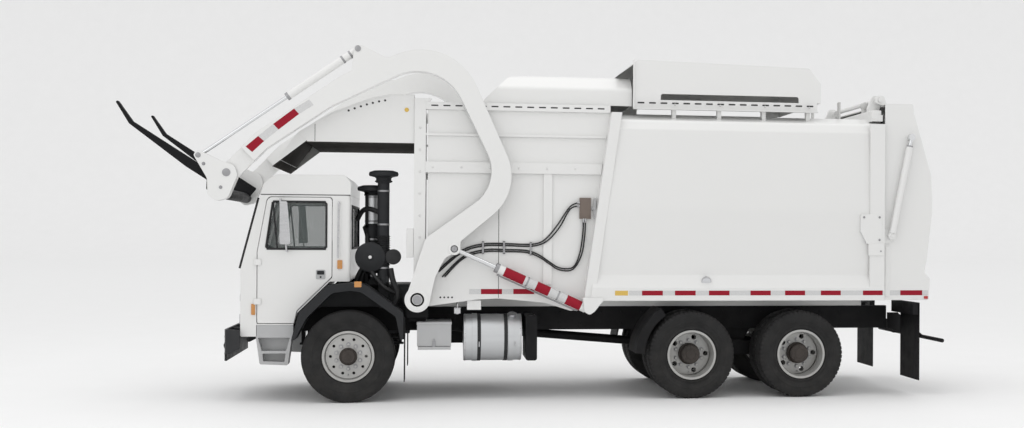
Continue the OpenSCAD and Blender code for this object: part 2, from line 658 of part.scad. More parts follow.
// ---- body ----
post_w = 135;
slant_low = [2760, skirt_z];
slant_high = [3085, 3460];
slant_w = 125;
rail_z = 3460;
open_x0 = hopper_front + post_w;
open_x1 = 2650;
hopper_floor_x1 = slant_low.x + 80;
module hopper_side() {
  // the side sheet, with its curved lower edge
  plate([[hopper_front + 160, 1120, 0], [hopper_front + 160, rail_z, 0], [3085, rail_z, 0],
         [2760, 1100, 0], [2620, 1060, 60], [2300, 1160, 200], [1750, 1212, 300],
         [1500, 1200, 200]], hopper_y - sheet_t, hopper_y);
  // the front post, its gusset, and the ribs
  plate([[hopper_front, 1340, 0], [hopper_front, 3590, 0], [hopper_front + 200, 3590, 0],
         [hopper_front + post_w, 3480, 0], [hopper_front + post_w, 1340, 0]],
        hopper_y - 100, hopper_y + 25);
  plate([[hopper_front + post_w, rail_z, 0], [hopper_front + post_w, 3550, 0], [3085, 3550, 0],
         [3085, rail_z, 0]], hopper_y - 80, hopper_y + 30);
  plate([[hopper_front + post_w, 3150, 10], [hopper_front + post_w, 3180, 10], [3040, 3180, 0],
         [3035, 3150, 0]], hopper_y - 1, hopper_y + 25);
  plate([[hopper_front + post_w, 2710, 0], [hopper_front + post_w, 2840, 0], [2990, 2840, 0],
         [2975, 2710, 0]], hopper_y - 1, hopper_y + 35);
  plate([[2280, 1380, 0], [2280, 2710, 0], [2385, 2710, 0], [2385, 1380, 0]],
        hopper_y - 1, hopper_y + 25);
}
module hopper() {
  color("#f0f0ee") place() {
    both() hopper_side();
    // front wall, floor and the fixed roof between the opening and the body
    block_across(hopper_front, hopper_front + sheet_t, hopper_y - 90, 1340, rail_z);
    block_across(hopper_front, hopper_floor_x1, hopper_y - sheet_t + 1, floor_z - sheet_t, floor_z);
    block_across(hopper_front, open_x0, hopper_y - 90, rail_z, 3550);
    block_across(open_x1, 3085, hopper_y - 80, rail_z, rail_z + sheet_t);
  }
}
module packer_panel() {
  w = hopper_y - sheet_t - 12;
  x = open_x0 + 10;
  color("#d8d8d4") place() {
    block_across(x + 90, x + 120, w, floor_z + 10, 2500);
    block_across(x, x + 90, w, floor_z + 10, floor_z + 60);
    for (y = [-w + 20, -10, w - 40]) plate([[x + 90, floor_z + 60, 0], [x + 90, 2450, 0],
      [x, floor_z + 60, 0]], y, y + 20);
  }
}
roof_rise = 90;
hinge_post_y = body_y - 320;
gate_gap = 20;
gate_x = body_end + gate_gap;
gate_y = body_y - 62;
side_gap = 7;
foot_plate_t = 12;
gate_foot_r = 22;
gate_cyl_y = gate_y + foot_plate_t + side_gap + 5 + gate_cyl_r;
// Half of the body's cross-section as [y, z, radius], from the bottom up
body_half = [[body_y, skirt_z, 0], [body_y, 1345, 10], [body_y - 65, 1500, 40],
  [body_y - 25, 2300, 900], [body_y - 55, body_side_z - 120, 60], [body_y - 110, body_side_z, 60],
  [body_y - 420, body_side_z + roof_rise, 200]];
body_half_inside = [[body_y - 100, floor_z, 20], [body_y - 65 - sheet_t, 1520, 40],
  [body_y - 25 - sheet_t, 2300, 900], [body_y - 55 - sheet_t, body_side_z - 130, 50],
  [body_y - 110 - sheet_t, body_side_z - sheet_t, 50],
  [body_y - 420 - sheet_t, body_side_z + roof_rise - sheet_t, 200]];
module body_shell() {
  color("#f0f0ee") place() {
    difference() {
      section(mirror_half(body_half), 2700, body_end);
      section(mirror_half(body_half_inside), 2600, body_end + 1);
      block_across(2600, body_end + 1, body_y - 60, skirt_z - 1, floor_z - sheet_t);
      plate_across([[2500, 1100, 0], [slant_low.x + 60, 1100, 0], [slant_high.x + 100, 3600, 0],
                    [2500, 3600, 0]], body_y + 10);
    }
    // the slanted posts that step out from the hopper to the body
    both() {
      plate([[slant_low.x, skirt_z, 0], [slant_high.x, rail_z, 0],
             [slant_high.x + slant_w, rail_z, 0], [slant_low.x + slant_w, skirt_z, 0]],
            hopper_y, body_y - 20);
      // rear posts and the boss that carries the tailgate hinge
      plate([[body_end - 190, skirt_z, 0], [body_end - 190, body_side_z, 0], [body_end, body_side_z, 0],
             [body_end, skirt_z, 0]], body_y - 45, body_y - 2);
      // the lower bracket and pin of a tailgate cylinder
      plate([[body_end - 80, 1870, 0], [body_end - 80, 2100, 0], [gate_foot.x + 20, 2060, 30],
             [gate_foot.x + 50, 1990, 30], [gate_foot.x + 20, 1910, 30]],
            gate_y + side_gap, gate_y + side_gap + foot_plate_t);
      pin(gate_foot, gate_foot_r, gate_y + side_gap, gate_cyl_y + 34);
      foot_bracket();
    }
    // the frame of beams round the rear opening, with the hinge bosses
    difference() {
      both() {
        plate([[body_end - 140, body_side_z - 60, 0], [body_end - 140, 3600, 20], [body_end - 80, 3755, 40],
               [body_end + 30, 3755, 40], [body_end + 30, 3640, 20], [body_end, 3560, 0],
               [body_end, body_side_z - 60, 0]], hinge_post_y, hinge_post_y + 60);
        block(body_end - 140, body_end, 0, body_y - 100, body_side_z + 40, body_side_z + 120);
      }
      pin_across(gate_hinge, 30, body_y);
    }
    pin_across(gate_hinge, 30, hinge_post_y + 160);
  }
}
module body_sills() {
  color("#e4e4e2") place() {
    both() block(arm_pivot.x + 140, body_end - 40, 340, 425, frame_top, floor_z - sheet_t);
    for (x = [1200 : 600 : 6200]) block_across(x, x + 60, 340, frame_top + 110, floor_z - sheet_t);
  }
}
canopy_top = [[-886, 2761, 10], [-600, 3160, 200], [-231, 3395, 300], [239, 3580, 500],
  [450, 3625, 100], [hopper_front, 3635, 0]];
module canopy() {
  color("#ececea") place() both() {
    // side plate
    plate(concat([[hopper_front, 3055, 0], [-497, 3055, 20], [-900, 2750, 10]], canopy_top),
          hopper_y - 12, hopper_y);
    // top sheet and the underside, which slopes down to the front lip
    difference() {
      plate(concat([[hopper_front, 3055, 0], [-497, 3055, 20], [-900, 2750, 10]], canopy_top),
            0, hopper_y - 12);
      plate([[hopper_front + 1, 3067, 0], [-490, 3067, 20], [-850, 2790, 10], [-590, 3147, 200],
             [-226, 3383, 300], [241, 3568, 500], [450, 3613, 100], [hopper_front + 1, 3623, 0]],
            -1, hopper_y - 12 + 0.5);
    }
  }
}
hood_x0 = 3370;
hood_x1 = body_end - 766;
hood_y = hopper_y - 45;
hood_bracket_x = hood_x0 + 490;
hood_bracket_gap = (hood_x1 - 184 - hood_bracket_x) / 3;
// Height of the body's roof at distance y from the middle plane
function roof_z(y) = body_side_z + roof_rise * min(1, (body_y - 110 - y) / 310);
seat_gap = 0.05;
module roof_hood() {
  color("#f0f0ee") place() {
    difference() {
      plate_across([[hood_x0 - 170, 3945, 0], [hood_x0 + 60, 4125, 20], [hood_x1 - 154, 4075, 40],
        [hood_x1, 3880, 40], [hood_x1, 3640, 0], [hood_x0 + 20, 3640, 0]], hood_y);
      plate_across([[hood_x0 - 180, 3935, 0], [hood_x0 + 66, 4110, 20], [hood_x1 - 164, 4060, 30],
        [hood_x1 - 12, 3875, 30], [hood_x1 - 12, 3600, 0], [hood_x0 - 180, 3600, 0]], hood_y - 12);
      both() plate([[hood_x0 + 345, 3600, 0], [hood_x0 + 345, 3715, 30], [hood_x1 - 284, 3715, 30],
                    [hood_x1 - 284, 3600, 0]], hood_y - 20, hood_y + 5);
      both() plate([[hood_x0 - 300, 3600, 0], [hood_x0 - 300, 4200, 0], [hood_x0 + 1, 4200, 0],
                    [hood_x0 + 20, 3600, 0]], hood_y - 60, hood_y + 5);
    }
    both() {
      // slotted rail on four brackets
      difference() {
        block(hood_x0, hood_x1 - 44, hood_y - 12, hood_y + 50, 3520, 3640);
        block(hood_x0 - 1, hood_x1 - 43, hood_y, hood_y + 60, 3532, 3641);
      }
      for (i = [0 : 3]) section([[-hood_y + 80, 3560, 0],
        [-hood_y + 80, roof_z(hood_y - 80) + seat_gap, 0],
        [-hood_y + 12, roof_z(hood_y - 12) + seat_gap, 0], [-hood_y + 12, 3560, 0]],
        hood_bracket_x + i * hood_bracket_gap, hood_bracket_x + i * hood_bracket_gap + 50);
      translate([hood_x0 + 5, -hood_y - 30, 3532]) cylinder(h = 590, r = 9, $fn = 24);
    }
  }
}
top_door_x0 = 1566;
top_door_len = 1800;
top_door_y = hopper_y - 100;
module top_door() {
  x1 = top_door_x0 + top_door_len;
  color("#f4f4f2") place() difference() {
    intersection() {
      plate_across([[top_door_x0, 3560, 0], [top_door_x0, 3600, 20], [top_door_x0 + 300, 3900, 120],
        [top_door_x0 + 560, 3922, 60], [x1, 3922, 10], [x1, 3560, 0]], top_door_y);
      section(mirror_half([[top_door_y, 3500, 0], [top_door_y, 3760, 80], [top_door_y - 160, 3922, 160]]),
              top_door_x0 - 10, x1 + 10);
    }
    intersection() {
      plate_across([[top_door_x0 + 12, 3550, 0], [top_door_x0 + 12, 3595, 20],
        [top_door_x0 + 306, 3888, 110], [top_door_x0 + 562, 3910, 50], [x1 - 12, 3910, 10],
        [x1 - 12, 3550, 0]], top_door_y - 12);
      section(mirror_half([[top_door_y - 12, 3500, 0], [top_door_y - 12, 3755, 75],
                           [top_door_y - 166, 3910, 150]]), top_door_x0 - 10, x1 + 10);
    }
  }
}

// ---- tailgate ----
function gate_outline(i) = let (x = body_end - i) [
  [gate_x, skirt_z + i, 0], [x + 600, skirt_z + i, 30], [x + 615, 1460, 40], [x + 535, 1530, 60],
  [x + 565, 1670, 200], [x + 640, 2300, 900], [x + 620, 2760, 300], [x + 390, 3530 - i, 60],
  [x + 380, 3640 - i, 20], [gate_x, 3640 - i, 0]];
module tailgate() {
  color("#f0f0ee") place() {
    difference() {
      plate_across(gate_outline(0), gate_y);
      plate_across([for (q = gate_outline(sheet_t)) q[0] == gate_x ? [gate_x - 1, q[1], 0] : q],
                   gate_y - sheet_t);
      // the recess in the top that takes the hinge posts
      both() block(gate_x - 1, gate_x + 90, hinge_post_y - 20, hinge_post_y + 80, 3540, 3700);
    }
    both() {
      // hinge ears
      difference() {
        plate([[gate_x - 90, 3660, 30], [gate_x - 90, 3750, 40], [gate_x + 20, 3750, 40],
               [gate_x + 60, 3630, 0], [gate_x, 3630, 0]], hinge_post_y + 90, hinge_post_y + 140);
        pin(gate_hinge, 30 + pin_clear, hinge_post_y + 80, hinge_post_y + 150);
      }
      pin(gate_pin, 45, gate_y - 1, gate_cyl_y - 32);
    }
  }
}
module tailgate_barrels() {
  reach = 1130;
  color("#e9e9e7") place() both() difference() {
    union() {
      strut(gate_foot, gate_pin, gate_cyl_y, gate_cyl_r, 35, reach);
      pin(gate_foot, 45, gate_cyl_y - 26, gate_cyl_y + 26);
    }
    pin(gate_foot, gate_foot_r + pin_clear, gate_cyl_y - 60, gate_cyl_y + 60);
    strut(gate_foot, gate_pin, gate_cyl_y, gate_rod_r + pin_clear, 60, reach + 1);
  }
}
module tailgate_rods() {
  color("#c8cacc") place() both() {
    strut(gate_foot, gate_pin, gate_cyl_y, gate_rod_r, 65, gap(gate_foot, gate_pin) - 20);
    pin(gate_pin, 42, gate_cyl_y - 26, gate_cyl_y + 26);
  }
}

// ---- lift arms ----
fork_end_t = 70;
fork_tube_r = 65;
lug_space = 2 * (arm_cyl_r + arm_cyl_gap);
arm_outline = [
  [650, 1200, 0], [885, 1930, 120], [1775, 2579, 470], [1047, 4080, 560], [-200, 3455, 700],
  [-930, 2950, 300], [-1358, 2502, 40], [-1513, 2652, 60], [-1040, 3140, 300], [-60, 3835, 600],
  [30, 3875, 0], [52, 4170, 40], [140, 4170, 40], [430, 4030, 100],
  [1183, 4368, 700], [2015, 2503, 590], [1290, 1895, 40], [1290, 1790, 40], [1110, 1700, 120],
  [1000, 1480, 150], [935, 1190, 0]];
module arm_profile() {
  difference() {
    union() {
      plate(arm_outline, arm_in, arm_in + arm_t);
      pin(arm_pivot, 147, arm_in, arm_in + arm_t);
    }
    // the fork end is cut down to a tongue
    for (y = [arm_in - 1, arm_mid + fork_end_t / 2])
      plate([[fork_pivot.x - 300, fork_pivot[1] - 300, 0], [fork_pivot.x - 300, fork_pivot[1] + 320, 0],
        [fork_pivot.x + 75, fork_pivot[1] + 380, 0], [fork_pivot.x + 370, fork_pivot[1] + 75, 0],
        [fork_pivot.x + 200, fork_pivot[1] - 300, 0]], y, y + (arm_t - fork_end_t) / 2 + 1);
    pin(fork_pivot, 40 + pin_clear, arm_in, arm_in + arm_t);
    // the space between the cheeks for the arm cylinder
    pin(arm_lug, 190, arm_mid - lug_space / 2, arm_mid + lug_space / 2);
    plate([[arm_lug.x - 130, arm_lug[1] + 60, 60], [arm_lug.x - 130, arm_lug[1] + 270, 60],
           [arm_lug.x + 40, arm_lug[1] + 340, 60], [arm_lug.x + 560, arm_lug[1] + 580, 0],
           [arm_lug.x + 660, arm_lug[1] + 220, 0], [arm_lug.x, arm_lug[1] - 160, 0]],
          arm_mid - lug_space / 2, arm_mid + lug_space / 2);
    // the space between the ears for the fork cylinder
    plate([[-120, 3870, 0], [-120, 4300, 0], [260, 4300, 0], [200, 4010, 0]],
          arm_mid - fork_cyl_r - 12, arm_mid + fork_cyl_r + 12);
  }
  pin(fork_lug, 25, arm_in, arm_in + arm_t);
  pin(arm_pivot, 60, arm_in + arm_t - 1, arm_in + arm_t + 8);
}
module arm_left() { color("#f4f4f2") place() arm_profile(); }
module arm_right() { color("#f4f4f2") place() mirror([0, 1, 0]) arm_profile(); }
module torque_tube() { color("#e6e6e4") place() pin_across(arm_pivot, torque_r, arm_in); }
arm_reach = 1225;
module arm_barrels() {
  color("#f4f4f2") place() both() difference() {
    union() {
      strut(foot_pin, arm_lug, arm_mid, arm_cyl_r, 40, arm_reach);
      pin(foot_pin, 50, arm_mid - 48, arm_mid + 48);
    }
    pin(foot_pin, foot_pin_r + pin_clear, arm_mid - arm_cyl_r - 10, arm_mid + arm_cyl_r + 10);
    strut(foot_pin, arm_lug, arm_mid, arm_rod_r + pin_clear, 66, arm_reach + 1);
  }
}
module arm_rods() {
  color("#c8cacc") place() both() {
    strut(foot_pin, arm_lug, arm_mid, arm_rod_r, 580, gap(foot_pin, arm_lug) - 20);
    pin(arm_lug, 46, arm_mid - 48, arm_mid + 48);
  }
}

// ---- forks ----
function fork_at(u, w) = fork_pivot + u * fork_dir + w * fork_up;
module fork_blade() {
  translate([0, -(fork_y - 35), 0]) rotate([90, 0, 0]) linear_extrude(70) polygon(concat(
    [fork_at(-90, -fork_drop), fork_at(fork_len - 260, -fork_drop)],
    [for (a = [90 : -30 : -90]) fork_tip + tip_r * (cos(a) * fork_dir + sin(a) * fork_up)],
    [fork_at(fork_len - 240, -fork_drop - 45), fork_at(450, -fork_drop - 110),
     fork_at(-90, -fork_drop - 110)]));
}
module crank(y0, y1) {
  plate([[crank_eye.x - 62, crank_eye[1] + 20, 40], [crank_eye.x + 10, crank_eye[1] + 55, 40],
    [-1420, 2800, 60], [-1280, 2760, 90], [-1245, 2640, 90], [-1350, 2380, 70], [-1480, 2340, 60],
    [-1575, 2420, 60], [-1580, 2600, 80]], y0, y1);
}
crank_in = [arm_mid - fork_end_t / 2 - 45, arm_mid - fork_end_t / 2 - 10];
crank_out = [arm_mid + fork_end_t / 2 + 10, arm_mid + fork_end_t / 2 + 45];
module fork_cranks() {
  color("#f2f2f0") place() both() {
    crank(crank_in[0], crank_in[1]);
    crank(crank_out[0], crank_out[1]);
    pin(fork_pivot, 40, crank_in[0], crank_out[1]);
  }
}
module fork_blades() {
  color("#3a3735") place() {
    both() {
      fork_blade();
      // the gusset between a blade and the tube
      plate([fork_corner(-110, -60), fork_corner(260, -60), fork_corner(120, -300),
             fork_corner(-80, -300)], fork_y - 12, fork_y + 12);
    }
    pin_across(fork_tube, fork_tube_r, crank_in[0] - 0.3);
  }
}
function fork_corner(u, w) = let (p = fork_at(u, w)) [p.x, p[1], 20];
fork_reach = 990;
module fork_barrels() {
  color("#f4f4f2") place() both() difference() {
    union() {
      strut(fork_lug, crank_eye, arm_mid, fork_cyl_r, 32, fork_reach);
      pin(fork_lug, 42, arm_mid - 40, arm_mid + 40);
    }
    pin(fork_lug, 25 + pin_clear, arm_mid - 60, arm_mid + 60);
    strut(fork_lug, crank_eye, arm_mid, fork_rod_r + pin_clear, 60, fork_reach + 1);
  }
}
module fork_rods() {
  color("#c8cacc") place() both() {
    strut(fork_lug, crank_eye, arm_mid, fork_rod_r, 560, gap(fork_lug, crank_eye) - 30);
    pin(crank_eye, 36, arm_mid - fork_end_t / 2, arm_mid + fork_end_t / 2);
  }
}

// ---- rear end ----
flap_x = body_end + 461;
module rear_bumper() {
  color("#1d1e20") place() {
    pin_across([bar_x, 682], bar_r, body_y - 40);
    both() {
      plate([[bar_x - 463, rail_bottom, 0], [bar_x - 463, rail_bottom + 200, 0],
             [bar_x - 323, rail_bottom + 200, 0], [bar_x + 20, 700, 20], [bar_x + 20, 664, 20],
             [bar_x - 60, 664, 20]], rail_y, rail_y + 20);
      block(flap_x - 91, flap_x - 21, rail_y, body_y - 5, 1010, 1160);
    }
  }
}
// A curved sheet ahead of the first rear tyres, with a deep lip on its outer edge
module quarter_fender() {
  r = rear_tyre_d / 2 + 50;
  lip = 95;
  function arc(r) = [for (a = [124 : 6 : 178]) [mid_axle.x + r * cos(a), mid_axle[1] + r * sin(a), 0]];
  function band(r0, r1) = let (b = arc(r1)) concat(arc(r0), [for (i = [len(b) - 1 : -1 : 0]) b[i]]);
  plate(band(r + lip, r + lip + 12), rear_track_y - twin_gap - 140, rear_track_y + 130);
  plate(band(r, r + lip + 1), rear_track_y + 118, rear_track_y + 130);
}
module mud_flaps() {
  color("#161718") place() both() {
    block(flap_x - 10, flap_x, 550, body_y - 5, 190, 1160);
    block(arch_x, arch_x + 10, fender_in + 35, fender_out - 5, 240, 1000);
    quarter_fender();
  }
}
hose_r = 9;
// Points on a smooth curve through p, n steps between each two
function curve(p, n) = concat([for (i = [0 : len(p) - 2], k = [0 : n - 1])
  let (t = k / n, a = p[max(0, i - 1)], b = p[i], c = p[i + 1], d = p[min(len(p) - 1, i + 2)])
  0.5 * (2 * b + (c - a) * t + (2 * a - 5 * b + 4 * c - d) * t * t + (3 * b - a - 3 * c + d) * t * t * t)],
  [p[len(p) - 1]]);
module hose(route) {
  p = curve(route, 3);
  for (i = [0 : len(p) - 2]) hull() {
    translate(p[i]) sphere(r = hose_r, $fn = 16);
    translate(p[i + 1]) sphere(r = hose_r, $fn = 16);
  }
}
module hydraulic_lines() {
  low = -hopper_y - hose_r - 2;
  high = -hopper_y - 25 - hose_r - 1;
  color("#141516") place() {
    // two hoses that rise to the valve box
    for (i = [0, 1]) hose([[1040 - 30 * i, low, 1530], [1310, low, 1760 + 24 * i],
      [1560, low, 1840 + 24 * i], [1850, low, 1845 + 24 * i], [2080, low, 1838 + 24 * i],
      [2230, high, 1858 + 24 * i], [2350 - 16 * i, high, 1925 + 30 * i], [2480 - 30 * i, high, 2080 + 20 * i],
      [2600, high, 2290 + 30 * i], [2716, high, 2330 + 40 * i]]);
    // two hoses that hang in a loop and enter it from below
    for (i = [0, 1]) hose([[1080 + 30 * i, low, 1470], [1330, low, 1715 - 24 * i],
      [1580, low, 1795 - 24 * i], [1850, low, 1798 - 24 * i], [2080, low, 1788 - 24 * i],
      [2230, high, 1735 - 24 * i], [2350, high, 1655 - 24 * i], [2480, high, 1580 - 24 * i], [2640, high, 1590 - 24 * i],
      [2720 + 24 * i, high, 1760 - 12 * i], [2755 + 26 * i, high, 2000], [2760 + 26 * i, high, 2165]]);
  }
}

chassis_frame();
front_bumper();
cab_shell();
cab_roof();
cab_glass();
dashboard();
seats();
door_left();
door_glass_left();
mirror_left();
door_right();
door_glass_right();
mirror_right();
cab_steps();
front_fenders();
engine_block();
intake_stack();
exhaust_stack();
battery_box();
fuel_tank();
side_boxes();
front_axle_and_springs();  // front_axle
knuckle_left();
knuckle_right();
rear_axles();
drive_shaft();
front_tyre_left();
front_rim_left();
front_tyre_right();
front_rim_right();
mid_tyres_left();
mid_rims_left();
mid_tyres_right();
mid_rims_right();
rear_tyres_left();
rear_rims_left();
rear_tyres_right();
rear_rims_right();
hopper();
packer_panel();
body_shell();
body_sills();
canopy();
roof_hood();
top_door();
tailgate();
tailgate_barrels();
tailgate_rods();
arm_left();
arm_right();
torque_tube();
arm_barrels();
arm_rods();
fork_cranks();
fork_blades();
fork_barrels();
fork_rods();
rear_bumper();
mud_flaps();
hydraulic_lines();
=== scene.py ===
"""Looks of the front-loading refuse truck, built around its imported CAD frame."""
import json
import math

import bmesh
import bpy
from mathutils import Matrix, Vector


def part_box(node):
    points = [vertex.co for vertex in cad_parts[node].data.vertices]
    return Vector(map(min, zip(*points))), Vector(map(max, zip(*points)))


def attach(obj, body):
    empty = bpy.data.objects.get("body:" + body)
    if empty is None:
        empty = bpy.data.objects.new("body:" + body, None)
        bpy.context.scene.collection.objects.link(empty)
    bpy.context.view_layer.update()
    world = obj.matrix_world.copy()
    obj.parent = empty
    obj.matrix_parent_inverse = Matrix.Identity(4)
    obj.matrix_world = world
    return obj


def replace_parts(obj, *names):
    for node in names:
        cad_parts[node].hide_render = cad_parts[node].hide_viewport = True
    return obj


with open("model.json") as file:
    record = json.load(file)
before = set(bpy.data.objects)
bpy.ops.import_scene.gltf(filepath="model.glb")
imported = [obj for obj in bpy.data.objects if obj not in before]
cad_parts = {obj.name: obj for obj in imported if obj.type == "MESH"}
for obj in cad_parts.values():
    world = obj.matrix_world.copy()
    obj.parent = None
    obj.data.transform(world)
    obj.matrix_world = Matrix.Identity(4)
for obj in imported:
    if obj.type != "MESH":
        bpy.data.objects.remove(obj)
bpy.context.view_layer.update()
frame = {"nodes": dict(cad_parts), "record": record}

# ---- places, in millimetres from the front axle, -Y on the driver's side ----
MM = 0.001


def middle(node):
    low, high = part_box(node)
    return (low + high) / 2


AXLE_X = middle("front_tyre_left").x


def P(x, y, z):
    """A point in millimetres from the front axle, as metres in the row frame."""
    return Vector((x * MM + AXLE_X, y * MM, z * MM))


def millimetres(point):
    return Vector(((point.x - AXLE_X) / MM, point.y / MM, point.z / MM))


MID_AXLE = millimetres(middle("mid_tyres_left"))
REAR_AXLE = millimetres(middle("rear_tyres_left"))
HOPPER_Y = 1030
BODY_Y = 1220
CAB_Y = 990
CAB_FRONT = millimetres(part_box("cab_shell")[0]).x
BODY_END = 6510
ARM_FACE = 1250
ARM_MID = 1165
GATE_Y = 1158
HUB_Z = 540
FRONT_WHEEL_FACE = 1103
REAR_WHEEL_SEAT = 978
SIDES = (-1, 1)
NAMED_SIDES = (("left", -1), ("right", 1))
# how far tape stands off its face: red and yellow over white
PROUD, UNDER = 1.2, 0.8

# ---- materials ----


class Graph:
    """A small helper for a material's nodes."""

    def __init__(self, name):
        self.material = bpy.data.materials.new(name)
        self.material.use_nodes = True
        self.nodes = self.material.node_tree.nodes
        self.links = self.material.node_tree.links
        self.shader = self.nodes["Principled BSDF"]

    def add(self, kind, **settings):
        node = self.nodes.new(kind)
        for key, value in settings.items():
            if key in node.inputs:
                node.inputs[key].default_value = value
            else:
                setattr(node, key, value)
        return node

    def link(self, a, b):
        self.links.new(a, b)

    def coordinates(self, scale=(1, 1, 1)):
        where = self.add("ShaderNodeTexCoord")
        mapping = self.add("ShaderNodeMapping")
        mapping.inputs["Scale"].default_value = scale
        self.link(where.outputs["Object"], mapping.inputs["Vector"])
        return mapping.outputs["Vector"]

    def noise(self, vector, scale, detail=4.0, rough=0.55):
        node = self.add("ShaderNodeTexNoise", Scale=scale, Detail=detail, Roughness=rough)
        self.link(vector, node.inputs["Vector"])
        return node.outputs["Fac"]

    def spread(self, value, low, high, start=0.3, end=0.7):
        node = self.add("ShaderNodeMapRange")
        for key, number in (("From Min", start), ("From Max", end), ("To Min", low), ("To Max", high)):
            node.inputs[key].default_value = number
        self.link(value, node.inputs["Value"])
        return node.outputs["Result"]

    def mix(self, factor, a, b):
        node = self.add("ShaderNodeMix", data_type="RGBA")
        self.link(factor, node.inputs[0])
        for socket, value in ((node.inputs[6], a), (node.inputs[7], b)):
            if isinstance(value, tuple):
                socket.default_value = (*value, 1.0)
            else:
                self.link(value, socket)
        return node.outputs[2]

    def set(self, **sockets):
        """Sets the shader's own sockets."""
        for key, value in sockets.items():
            self.shader.inputs[key.replace("_", " ")].default_value = value

    def feed(self, value, socket):
        self.link(value, self.shader.inputs[socket])

    def relief(self, height, strength, depth_mm, normal=None):
        """Bump from a height, over another normal if there is one."""
        node = self.add("ShaderNodeBump", Strength=strength, Distance=depth_mm * MM)
        self.link(height, node.inputs["Height"])
        if normal:
            self.link(normal, node.inputs["Normal"])
        self.feed(node.outputs["Normal"], "Normal")

    def combine(self, a, b, operation="MULTIPLY"):
        node = self.add("ShaderNodeMath", operation=operation)
        self.link(a, node.inputs[0])
        self.link(b, node.inputs[1])
        return node.outputs[0]


def shade(color, factor):
    return tuple(min(1.0, c * factor) for c in color)


def surface(name, color, rough, metallic=0.0, tint=0.05, tint_scale=2.5, rough_spread=0.08,
            bump=0.15, bump_scale=260.0, bump_mm=0.3, edge_mm=0.0, dust=None, stretch=(1, 1, 1),
            painted_underside_shade=None, **sockets):
    """A finish with colour, roughness and bump from noise, rounded edges, dust that fades with height, and
    painted shade on faces that point down.
    """
    g = Graph(name)
    vector = g.coordinates(stretch)
    broad = g.noise(vector, tint_scale)
    tone = g.mix(g.spread(broad, 0.0, 1.0), shade(color, 1 - tint), shade(color, 1 + tint))
    roughness = g.spread(g.noise(vector, 9.0), rough - rough_spread, rough + rough_spread)
    if dust:
        dust_color, dust_top, amount = dust
        height = g.add("ShaderNodeSeparateXYZ")
        g.link(g.coordinates(), height.inputs[0])
        fade = g.spread(height.outputs["Z"], amount, 0.0, 0.1, dust_top)
        patches = g.spread(g.noise(g.coordinates(), 7.0, 8.0, 0.65), 0.15, 1.0, 0.35, 0.68)
        tone = g.mix(g.combine(fade, patches), tone, dust_color)
    # painted shade: faces that point downwards take a dark grey-brown with streaky noise, standing in for the
    # shadow that falls under them; they are also made rougher
    if painted_underside_shade:
        normal = g.add("ShaderNodeSeparateXYZ")
        g.link(g.add("ShaderNodeNewGeometry").outputs["Normal"], normal.inputs[0])
        painted_shade_tone = g.mix(g.spread(g.noise(g.coordinates((1, 4, 1)), 6.0, 8.0), 0.0, 1.0), shade(painted_underside_shade, 0.6),
                       shade(painted_underside_shade, 1.3))
        painted_shade_mask = g.spread(normal.outputs["Z"], 1.0, 0.0, -0.6, -0.3)
        tone = g.mix(painted_shade_mask, tone, painted_shade_tone)
        roughness = g.combine(roughness, painted_shade_mask, "MAXIMUM")
    g.feed(tone, "Base Color")
    g.feed(roughness, "Roughness")
    edge = g.add("ShaderNodeBevel", Radius=edge_mm * MM, samples=4).outputs["Normal"] if edge_mm else None
    g.relief(g.noise(vector, bump_scale, 2.0), bump, bump_mm, edge)
    g.set(Metallic=metallic, **sockets)
    return g.material


def woven(name, color, pitch_mm):
    """Seat cloth: two crossed threads."""
    g = Graph(name)
    vector = g.coordinates()
    threads = []
    for direction in ("X", "Z"):
        wave = g.add("ShaderNodeTexWave", Scale=1 / (pitch_mm * MM * 3), Distortion=0.4,
                     bands_direction=direction)
        g.link(vector, wave.inputs["Vector"])
        threads.append(wave.outputs["Fac"])
    weave = g.combine(*threads)
    g.feed(g.mix(weave, shade(color, 0.6), shade(color, 1.25)), "Base Color")
    g.relief(weave, 0.6, 0.8)
    g.set(Roughness=0.9, Sheen_Weight=0.3)
    return g.material


def glazing(name, color, rough, alpha):
    """Tinted glass, partly see-through."""
    g = Graph(name)
    g.feed(g.spread(g.noise(g.coordinates(), 5.0, 6.0), rough, rough + 0.05), "Roughness")
    g.set(Base_Color=(*color, 1.0), Alpha=alpha, IOR=1.5, Coat_Weight=0.6)
    return g.material


def lens(name, color):
    """A ribbed lamp lens."""
    g = Graph(name)
    wave = g.add("ShaderNodeTexWave", Scale=22.0, bands_direction="Z")
    g.link(g.coordinates(), wave.inputs["Vector"])
    g.feed(g.mix(wave.outputs["Fac"], shade(color, 0.75), color), "Base Color")
    g.relief(wave.outputs["Fac"], 0.5, 1.2)
    g.set(Roughness=0.15, Coat_Weight=0.8)
    return g.material


def reflective_tape(name, color):
    """Retroreflective tape with its fine honeycomb."""
    g = Graph(name)
    cells = g.add("ShaderNodeTexVoronoi", Scale=160.0)
    g.link(g.coordinates(), cells.inputs["Vector"])
    tone = g.spread(cells.outputs["Distance"], 0.0, 1.0, 0.0, 0.8)
    g.feed(g.mix(tone, shade(color, 0.85), shade(color, 1.1)), "Base Color")
    g.set(Roughness=0.5, Specular_IOR_Level=0.15)
    return g.material


